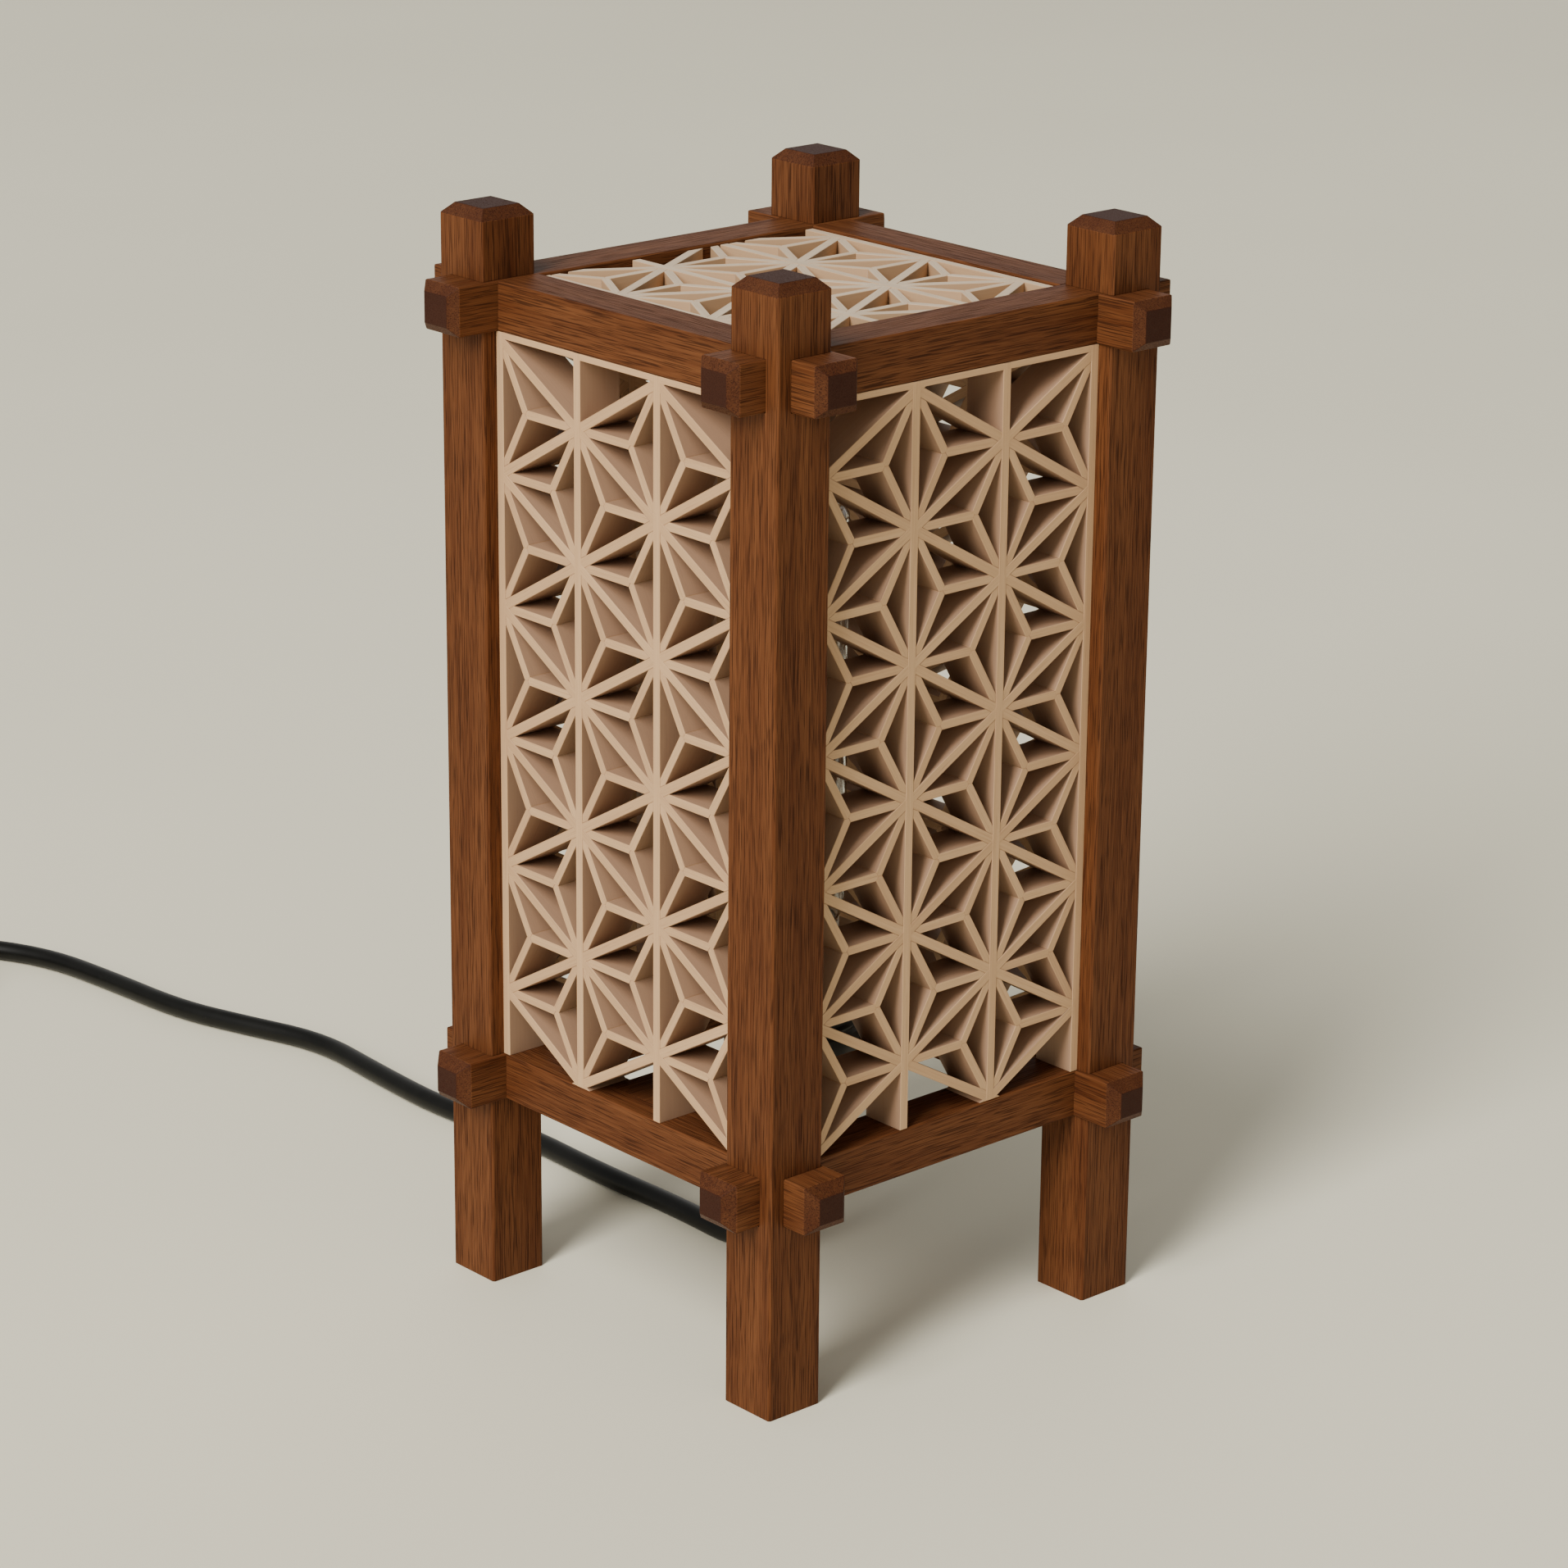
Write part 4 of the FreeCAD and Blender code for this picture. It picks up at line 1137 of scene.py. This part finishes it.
# Lead
@dataclass
class Lead:
    """Mains lead: out of the strain relief, along the floor and into the put-away coil."""

    width: float = 7 * MM
    exit_height: float = 39 * MM
    coil_radius: float = 48 * MM
    coil_step: float = 7.5 * MM
    coil_turns: float = 5.25
    coil_climb: float = 0.5
    coil_centre: tuple[float, float] = (-110 * MM, 399 * MM)
    coil_floor: float = 4.5 * MM
    coil_start: float = 60.0
    coil_tail: float = 20 * MM
    coil_look_back: float = 0.001
    points_in_turn: int = 16
    route: tuple[tuple[float, float, float], ...] = (
        (0, 0, 39), (0, 0, 26.9), (0, 8.6, 12.1), (0, 23.4, 3.5), (1.8, 55, 3.5), (0.2, 96, 3.5),
        (1.6, 134, 3.5), (-4.6, 172, 3.5), (-2.6, 212, 3.5), (0.4, 247, 3.5), (-11, 279, 3.5),
        (-19.5, 306, 3.5), (-22, 344, 3.5), (-26, 381, 3.5), (-42, 410, 3.5), (-60.5, 426.7, 4.5),
        (-79.9, 437.2, 4.5),
    )

    def coil_place(self, turn: float) -> Vector:
        """Find a point of the coil.

        Args:
            turn: Turns from the coil's start.

        Returns:
            The point.
        """
        radius = self.coil_radius - self.coil_step * min(turn, self.coil_turns - turn)
        climb = min(max((turn - self.coil_turns / 2) / self.coil_climb + 0.5, 0), 1)
        angle = math.radians(self.coil_start) + 2 * math.pi * turn
        across, along = self.coil_centre
        return Vector((
            across + radius * math.cos(angle), along + radius * math.sin(angle),
            self.coil_floor + self.coil_step * climb,
        ))

    def end_way(self) -> Vector:
        """Direction in which the coil ends, towards the plug."""
        just_before = self.coil_place(self.coil_turns - self.coil_look_back)
        return (self.coil_place(self.coil_turns) - just_before).normalized()

    def end_place(self) -> Vector:
        """End of the lead, at the plug."""
        return self.coil_place(self.coil_turns) + self.end_way() * self.coil_tail

    def build(self) -> Piece:
        """Lay the lead as one smooth curve.

        Returns:
            The lead.
        """
        points = [Vector(point) * MM for point in self.route]
        count = round(self.coil_turns * self.points_in_turn)
        points += [self.coil_place(self.coil_turns * number / count) for number in range(count + 1)]
        points.append(self.end_place())
        curve = bpy.data.curves.new("lead", "CURVE")
        curve.dimensions = "3D"
        spline = curve.splines.new("NURBS")
        spline.points.add(len(points) - 1)
        for point, place in zip(spline.points, points):
            point.co = (*place, 1)
        spline.order_u = 3
        spline.use_endpoint_u = True
        spline.resolution_u = 5
        curve.bevel_depth = self.width / 2
        curve.bevel_resolution = 5
        curve.use_fill_caps = True
        piece = bpy.data.objects.new("lead", curve)
        bpy.context.collection.objects.link(piece)
        dress(piece, BLACK_LEAD.made())
        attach(piece, "frame")
        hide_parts("lead_tube", "lead_coil")
        log.info("lead: %d points", len(points))
        return piece


# Lampholder
@dataclass
class Lampholder:
    """Lampholder on the cross-bar, with the tube and nut that hold it and the lead's strain relief."""

    bore_gap: float = 0.3 * MM
    seat_gap: float = 0.2 * MM
    foot_chamfer: Station = (1.6 * MM, 2.4 * MM)
    mouth_chamfer: Station = (1.2 * MM, 4.0 * MM)
    body_easing: float = 0.25 * MM
    body_sides: int = 72
    rib_start: float = 9.0 * MM
    rib_pitch: float = 3.0 * MM
    rib_depth: float = 0.7 * MM
    rib_count: int = 5
    rib_corners: tuple[float, ...] = (0, 0.3, 0.6, 0.9)
    shell_wall: float = 0.5 * MM
    shell_pitch: float = 3.6 * MM
    shell_depth: float = 0.5 * MM
    shell_rises: int = 24
    shell_sides: int = 56
    tube_pitch: float = 1.0 * MM
    tube_depth: float = 0.35 * MM
    collar_height: float = 9.0 * MM
    collar_edge: float = 0.8 * MM
    sleeve_radii: Station = (6.3 * MM, 4.4 * MM)
    sleeve_gap: float = 1.5 * MM
    sleeve_edge: float = 0.4 * MM
    sleeve_easing: float = 0.12 * MM
    sleeve_rings: int = 6
    ring_groove: float = 0.7 * MM
    ring_corners: tuple[float, ...] = (0, 0.55, 0.65, 0.9)
    nut_easing: float = 0.35 * MM
    tongue_easing: float = 0.3 * MM

    def body(self) -> Piece:
        """Turn the body, with grip ribs round it and a bore for the bulb.

        Returns:
            The body.
        """
        low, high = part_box("holder_body")
        shell_low, shell_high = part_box("holder_shell")
        tube_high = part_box("threaded_tube")[1]
        radius = high.x
        groove = radius - self.rib_depth
        bore = shell_high.x + self.bore_gap
        seat = tube_high.x + self.seat_gap
        roof = tube_high.z + self.seat_gap
        inset, rise = self.foot_chamfer
        profile = [(seat, low.z), (radius - inset, low.z), (radius, low.z + rise)]
        for number in range(self.rib_count):
            level = low.z + self.rib_start + self.rib_pitch * number
            for across, share in zip((radius, groove, groove, radius), self.rib_corners):
                profile.append((across, level + share * self.rib_pitch))
        inset, drop = self.mouth_chamfer
        profile += [
            (radius, high.z - drop), (radius - inset, high.z), (bore, high.z), (bore, shell_low.z),
            (0, shell_low.z), (0, roof), (seat, roof), (seat, low.z),
        ]
        piece = turned("lampholder_body", profile, self.body_sides)
        ease(piece, self.body_easing, 2)
        smooth(piece)
        return piece

    def shell(self) -> Piece:
        """Roll the screw shell.

        Returns:
            The shell.
        """
        low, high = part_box("holder_shell")
        swing = self.shell_depth / 2
        profile = []
        for number in range(self.shell_rises + 1):
            climb = (high.z - low.z) * number / self.shell_rises
            wave = math.cos(2 * math.pi * climb / self.shell_pitch)
            profile.append((high.x - swing + swing * wave, low.z + climb))
        inside = [(radius - self.shell_wall, level) for radius, level in reversed(profile)]
        piece = turned("lampholder_screw_shell", profile + inside + profile[:1], self.shell_sides)
        smooth(piece, THREAD_ANGLE)
        return piece

    def tube(self) -> Piece:
        """Cut the thread of the tube.

        Returns:
            The tube.
        """
        low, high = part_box("threaded_tube")
        root = high.x - self.tube_depth
        piece = threaded("lampholder_tube", high.x, root, low.z, high.z, self.tube_pitch)
        smooth(piece, THREAD_ANGLE)
        return piece

    def sleeve(self) -> Piece:
        """Mould the strain relief: a collar and a ringed taper down to the lead.

        Returns:
            The strain relief.
        """
        low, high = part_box("strain_relief")
        rim = high.x - self.collar_edge
        neck = high.z - self.collar_height
        wide, thin = self.sleeve_radii
        profile = [
            (0, high.z), (rim, high.z), (high.x, high.z - self.collar_edge),
            (high.x, neck + self.collar_edge), (rim, neck), (wide, neck - self.sleeve_edge),
        ]
        start = neck - self.sleeve_gap
        ring = (start - low.z) / self.sleeve_rings
        for number in range(self.sleeve_rings):
            before = wide + (thin - wide) * number / self.sleeve_rings
            after = wide + (thin - wide) * (number + 1) / self.sleeve_rings
            groove = after - self.ring_groove
            for across, share in zip((before, after, groove, groove), self.ring_corners):
                profile.append((across, start - ring * (number + share)))
        profile += [(thin, low.z + self.sleeve_edge), (thin - self.sleeve_edge, low.z), (0, low.z)]
        piece = turned("lead_strain_relief", profile)
        ease(piece, self.sleeve_easing, 2)
        smooth(piece)
        return piece

    def build(self) -> None:
        """Make and dress all the pieces."""
        plastic = BLACK_PLASTIC.made()
        steel = STEEL.made()
        brass = BRASS.made()
        installed(self.body(), plastic, "frame", "black_plastic", "holder_body")
        installed(self.shell(), brass, "frame", "brass", "holder_shell")
        installed(self.tube(), steel, "frame", "steel", "threaded_tube")
        installed(self.sleeve(), plastic, "frame", "black_plastic", "strain_relief")
        nut = eased_copy("tube_nut", "lampholder_nut", self.nut_easing)
        installed(nut, steel, "frame", "steel", "tube_nut")
        tongue = eased_copy("holder_contact", "lampholder_spring_tongue", self.tongue_easing)
        installed(tongue, brass, "frame", "brass", "holder_contact")


# Bulb
@dataclass
class Bulb:
    """Clear tube bulb: end contact, insulator, rolled screw cap, housing, glass and filament."""

    easing: float = 0.3 * MM
    thread_pitch: float = 3.6 * MM
    thread_depth: float = 0.9 * MM
    cap_rim: float = 2.0 * MM
    rim_inset: float = 0.4 * MM
    rim_edges: Station = (0.5 * MM, 0.3 * MM)
    contact_taper: float = 1.2 * MM
    insulator_taper: float = 2.5 * MM
    neck: float = 12.6 * MM
    shoulder: Station = (0.45, 0.6)
    shoulder_inset: float = 0.4 * MM
    shoulder_angle: float = 20
    glass_neck: float = 14.0 * MM
    glass_flare: float = 8.0 * MM
    # Share of the flare's height, and share of its widening
    flare_steps: tuple[Station, ...] = ((0, 0), (0.35, 0.55), (0.7, 0.9), (1.0, 1.0))
    glass_wall: float = 0.9 * MM
    end_rounding: float = 8.0 * MM
    rounding_steps: int = 8
    round_sides: int = 64
    stem_height: float = 28.0 * MM
    # Radius in millimetres, and share of the stem's height
    stem_steps: tuple[Station, ...] = ((3.5, 0), (3.2, 0.4), (2.2, 0.8), (2.4, 1.0))
    stem_sides: int = 24
    post: float = 0.8 * MM
    post_edge: float = 0.3 * MM
    post_sides: int = 12
    wires: int = 4
    wire: float = 0.4 * MM
    arm_easing: float = 0.15 * MM
    coil_root: float = 0.24 * MM
    coil_pitch: float = 1.6 * MM

    def cap(self) -> Piece:
        """Roll the screw cap, with a plain rim at its top.

        Returns:
            The cap.
        """
        low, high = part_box("bulb_cap")
        crest = high.x
        inner = crest - self.rim_inset
        edge = high.z - self.cap_rim
        below, above = self.rim_edges
        root = crest - self.thread_depth
        rod = threaded("bulb_cap_thread", crest, root, low.z, edge, self.thread_pitch)
        rim = turned("bulb_cap_rim", [
            (0, edge), (inner, edge), (crest, edge + below), (crest, high.z - above),
            (inner, high.z), (0, high.z),
        ])
        piece = joined("bulb_screw_cap", [rod, rim])
        smooth(piece, THREAD_ANGLE)
        return piece

    def base(self, node: str, name: str, taper: float) -> Piece:
        """Turn the insulator or the end contact, which narrows downwards.

        Args:
            node: Node that it stands for.
            name: Name of the piece.
            taper: How much smaller its lower radius is.

        Returns:
            The piece.
        """
        low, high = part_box(node)
        radius = high.x
        piece = turned(name, [
            (0, low.z), (radius - taper, low.z), (radius, low.z + taper), (radius, high.z), (0, high.z),
        ])
        ease(piece, self.easing, 2)
        smooth(piece)
        return piece

    def housing(self) -> Piece:
        """Turn the housing, a collar that widens from the cap to the glass.

        Returns:
            The housing.
        """
        low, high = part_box("bulb_housing")
        wide = high.x
        near, far = (low.z + share * (high.z - low.z) for share in self.shoulder)
        piece = turned("bulb_collar", [
            (0, low.z), (self.neck, low.z), (wide - self.shoulder_inset, near), (wide, far),
            (wide, high.z), (0, high.z),
        ], self.round_sides)
        ease(piece, self.easing, 2, self.shoulder_angle)
        smooth(piece)
        return piece

    def rounded_end(self, radius: float, top: float, turn: float) -> list[Station]:
        """Find the corners of a rounded tube end.

        Args:
            radius: Radius of the tube.
            top: Height of its end.
            turn: Radius of the rounding.

        Returns:
            Radius and height of each corner, from the side to the axis.
        """
        corners = []
        for step in range(self.rounding_steps + 1):
            angle = math.pi / 2 * step / self.rounding_steps
            corners.append((radius - turn + turn * math.cos(angle), top - turn + turn * math.sin(angle)))
        return corners + [(0, top)]

    def glass(self) -> Piece:
        """Blow the hollow tube, with a flare above its neck and a rounded end.

        Returns:
            The glass.
        """
        low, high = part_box("bulb_diffuser")
        radius = high.x
        wall = self.glass_wall
        flare = [
            (self.glass_neck + (radius - self.glass_neck) * widened, low.z + self.glass_flare * share)
            for share, widened in self.flare_steps
        ]
        outside = flare + self.rounded_end(radius, high.z, self.end_rounding)
        inside = [(across - wall, level) for across, level in flare]
        inside += self.rounded_end(radius - wall, high.z - wall, self.end_rounding - wall)
        piece = turned("bulb_glass", outside + inside[::-1] + outside[:1], self.round_sides)
        smooth(piece)
        return piece

    def filament(self) -> Piece:
        """Make the stem, the wires that it holds and the filament strung between their arms.

        Returns:
            The filament with its stem.
        """
        low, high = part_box("bulb_filament")
        foot = low.z + self.stem_height
        corners = [(across * MM, low.z + share * self.stem_height) for across, share in self.stem_steps]
        stem = turned("bulb_stem", [(0, low.z), *corners, (0, foot)], self.stem_sides)
        smooth(stem)
        post = turned("bulb_post", [
            (0, foot), (self.post, foot), (self.post, high.z - self.post_edge),
            (self.post - self.post_edge, high.z), (0, high.z),
        ], self.post_sides)
        parts = [stem, post]
        outwards = Matrix.Translation((high.x - self.wire, 0, 0))
        for number in range(self.wires):
            turn = Matrix.Rotation(2 * math.pi * number / self.wires, 4, "Z")
            for level in (foot, high.z - 2 * self.wire):
                arm = block("arm", (0, -self.wire, level), (high.x, self.wire, level + 2 * self.wire))
                arm.data.transform(turn)
                ease(arm, self.arm_easing, 2)
                parts.append(arm)
            coil = threaded("filament_coil", self.wire, self.coil_root, foot, high.z, self.coil_pitch)
            coil.data.transform(turn @ outwards)
            smooth(coil, THREAD_ANGLE)
            parts.append(coil)
        return joined("bulb_filament_wires", parts)

    def build(self) -> None:
        """Make and dress all the pieces."""
        nickel = NICKEL.made()
        installed(self.cap(), nickel, "bulb", "nickel", "bulb_cap")
        contact = self.base("bulb_contact", "bulb_end_contact", self.contact_taper)
        installed(contact, nickel, "bulb", "nickel", "bulb_contact")
        insulator = self.base("bulb_insulator", "bulb_cap_insulator", self.insulator_taper)
        installed(insulator, BLACK_GLASS.made(), "bulb", "black_plastic", "bulb_insulator")
        installed(self.housing(), WHITE_PLASTIC.made(), "bulb", "white_plastic", "bulb_housing")
        installed(self.glass(), CLEAR_GLASS.made(), "bulb", "clear_glass", "bulb_diffuser")
        installed(self.filament(), nickel, "bulb", "nickel", "bulb_filament")


# Plug and tie
@dataclass
class Plug:
    """Flat moulded plug on the lead's end, on its edge beside the coil, and the strap round the coil."""

    place: Matrix
    # Half width, half depth and height, in millimetres
    stations: tuple[tuple[float, float, float], ...] = (
        (4.5, 4.5, 0), (6.2, 4.5, 24), (8.0, 6.0, 26), (12.0, 7.5, 33), (12.0, 7.5, 54),
    )
    rounding: float = 2.6 * MM
    rounding_steps: int = 4
    rounding_angle: float = 40
    ribs: int = 5
    rib_start: float = 2.0 * MM
    rib_end: float = 4.0 * MM
    rib_reach: float = 8.0 * MM
    rib_share: float = 0.45
    rib_foot: float = 0.29 * MM
    rib_rise: float = 0.225 * MM
    rib_easing: float = 0.2 * MM
    easing: float = 0.25 * MM

    def blank(self) -> Piece:
        """Draw the plug out from station to station.

        Returns:
            The plug without its ribs, upright at the origin.
        """
        bpy.ops.object.select_all(action="DESELECT")
        bpy.ops.mesh.primitive_plane_add(size=2)
        piece = named(bpy.context.active_object, "plug_blank")
        opened(piece)
        sections = [Vector(station) * MM for station in self.stations]
        first = sections[0]
        bpy.ops.transform.resize(value=(first.x, first.y, 1), center_override=(0, 0, 0))
        for before, after in zip(sections, sections[1:]):
            lift = (0, 0, after.z - before.z)
            bpy.ops.mesh.extrude_region_move(TRANSFORM_OT_translate={"value": lift})
            spread = (after.x / before.x, after.y / before.y, 1)
            bpy.ops.transform.resize(value=spread, center_override=(0, 0, after.z))
        bpy.ops.object.mode_set(mode="OBJECT")
        face_outwards(piece)
        ease(piece, self.rounding, self.rounding_steps, self.rounding_angle)
        smooth(piece, self.rounding_angle)
        return piece

    def body(self) -> Piece:
        """Mould the plug: a tapered strain relief, a shoulder and a body with grip ribs.

        Returns:
            The plug, in its place.
        """
        parts = [self.blank()]
        start = self.stations[-2][2] * MM + self.rib_start
        depth, end = self.stations[-1][1] * MM, self.stations[-1][2] * MM - self.rib_end
        pitch = (end - start) / self.ribs
        for side in (-1, 1):
            near, far = sorted((side * (depth - self.rib_foot), side * (depth + self.rib_rise)))
            for number in range(self.ribs):
                level = start + pitch * number
                top = level + self.rib_share * pitch
                rib = block("rib", (-self.rib_reach, near, level), (self.rib_reach, far, top))
                ease(rib, self.rib_easing, 2)
                parts.append(rib)
        whole = joined("plug_moulding", parts)
        whole.data.transform(self.place)
        return whole

    def build(self) -> list[Piece]:
        """Make and dress the plug, its blades and the strap.

        Returns:
            The three pieces.
        """
        body = self.body()
        installed(body, BLACK_LEAD.made(), "frame", "black_lead", "plug_body")
        blades = eased_copy("plug_blades", "plug_brass_blades", self.easing)
        installed(blades, BRASS.made(), "frame", "brass", "plug_blades")
        strap = eased_copy("lead_tie", "lead_strap", self.easing)
        installed(strap, BLACK_PLASTIC.made(), "frame", "black_lead", "lead_tie")
        return [strap, body, blades]


# Setting: floor, light and camera
@dataclass
class Setting:
    """Pale studio floor, soft light from the left and the camera at the photograph's angle."""

    eye: tuple[float, float, float] = (-0.9143, -1.0155, 0.6206)
    heading: float = 41.869
    tilt: float = 18.534
    roll: float = 0.525
    focal_pixels: float = 5779.2
    frame_pixels: float = 1913.0
    sensor: float = 36.0
    sight: float = 50.0
    floor_reach: float = 9.0
    floor_tones: tuple[Colour, Colour] = (srgb(234, 229, 206), srgb(238, 233, 210))
    floor_waves: float = 1.4
    floor_roughness: float = 0.6
    floor_sheen: float = 0.25
    key_power: float = 1160.0
    key_colour: tuple[float, float, float] = (1.0, 0.975, 0.93)
    key_size: tuple[float, float] = (2.9, 8.5)
    key_distance: float = 9.0
    key_heading: float = 196.0
    key_height: float = 42.0
    room_colour: Colour = srgb(254, 252, 246)
    room_way: tuple[float, float, float] = (-0.94, -0.34, 0)
    room_strength: tuple[float, float] = (0.06, 0.6)
    backdrop_way: tuple[float, float, float] = (0.67, 0.74, 0)
    backdrop_start: float = 0.3
    backdrop_strength: float = 0.8

    def camera(self) -> None:
        """Set up the camera."""
        data = bpy.data.cameras.new("camera")
        data.sensor_width = self.sensor
        data.lens = self.focal_pixels / self.frame_pixels * self.sensor
        data.clip_end = self.sight
        camera = bpy.data.objects.new("camera", data)
        bpy.context.collection.objects.link(camera)
        turn = Matrix.Rotation(math.radians(-self.heading), 4, "Z")
        turn = turn @ Matrix.Rotation(math.radians(90 - self.tilt), 4, "X")
        turn = turn @ Matrix.Rotation(math.radians(self.roll), 4, "Z")
        camera.matrix_world = Matrix.Translation(self.eye) @ turn
        bpy.context.scene.camera = camera

    def floor(self) -> None:
        """Lay the floor."""
        bpy.ops.object.select_all(action="DESELECT")
        bpy.ops.mesh.primitive_plane_add(size=2 * self.floor_reach)
        floor = named(bpy.context.active_object, "floor")
        made, tree, shader = new_material("studio_floor")
        place = tree.add("ShaderNodeTexCoord").outputs["Object"]
        cloud = tree.step(tree.noise(place, self.floor_waves), *BROAD_SPREAD)
        tree.link(tree.mix(cloud, *self.floor_tones), shader.inputs["Base Color"])
        shader.inputs["Roughness"].default_value = self.floor_roughness
        shader.inputs["Specular IOR Level"].default_value = self.floor_sheen
        dress(floor, made)

    def softbox(self) -> None:
        """Hang one tall soft light on the left."""
        data = bpy.data.lights.new("softbox", "AREA")
        data.shape = "ELLIPSE"
        data.size, data.size_y = self.key_size
        data.energy = self.key_power
        data.color = self.key_colour
        light = bpy.data.objects.new("softbox", data)
        bpy.context.collection.objects.link(light)
        across = math.radians(self.key_heading)
        rise = math.radians(self.key_height)
        level = math.cos(rise)
        source = Vector((math.cos(across) * level, math.sin(across) * level, math.sin(rise)))
        turn = source.to_track_quat("Z", "Y").to_matrix().to_4x4()
        light.matrix_world = Matrix.Translation(source * self.key_distance) @ turn

    def room(self) -> None:
        """Set the room's own light, stronger from the left and from the backdrop."""
        world = bpy.data.worlds.new("room")
        bpy.context.scene.world = world
        world.use_nodes = True
        tree = Tree(world.node_tree)
        backdrop = world.node_tree.nodes["Background"]
        backdrop.inputs["Color"].default_value = self.room_colour
        way = tree.add("ShaderNodeTexCoord").outputs["Generated"]
        leftness = tree.vector("DOT_PRODUCT", way, self.room_way).outputs["Value"]
        behind = tree.vector("DOT_PRODUCT", way, self.backdrop_way).outputs["Value"]
        from_left = tree.step(leftness, -1, 1, *self.room_strength)
        from_behind = tree.step(behind, self.backdrop_start, 1, 0, self.backdrop_strength)
        tree.link(tree.maths("ADD", from_left, from_behind), backdrop.inputs["Strength"])


def main() -> None:
    """Build every sub-assembly in order."""
    logging.basicConfig(level=logging.INFO, format="%(message)s")
    setting = Setting()
    setting.camera()
    setting.floor()
    setting.softbox()
    setting.room()
    lead = Lead()
    cord = lead.build()
    way = lead.end_way()
    side = way.cross(UP)
    turn = Matrix((UP, side, way)).transposed().to_4x4()
    on_lead = Plug(Matrix.Translation(lead.end_place()) @ turn).build()
    TimberFrame().build()
    side_lattice().build()
    top_lattice().build()
    Lampholder().build()
    Bulb().build()


if __name__ == "__main__":
    main()
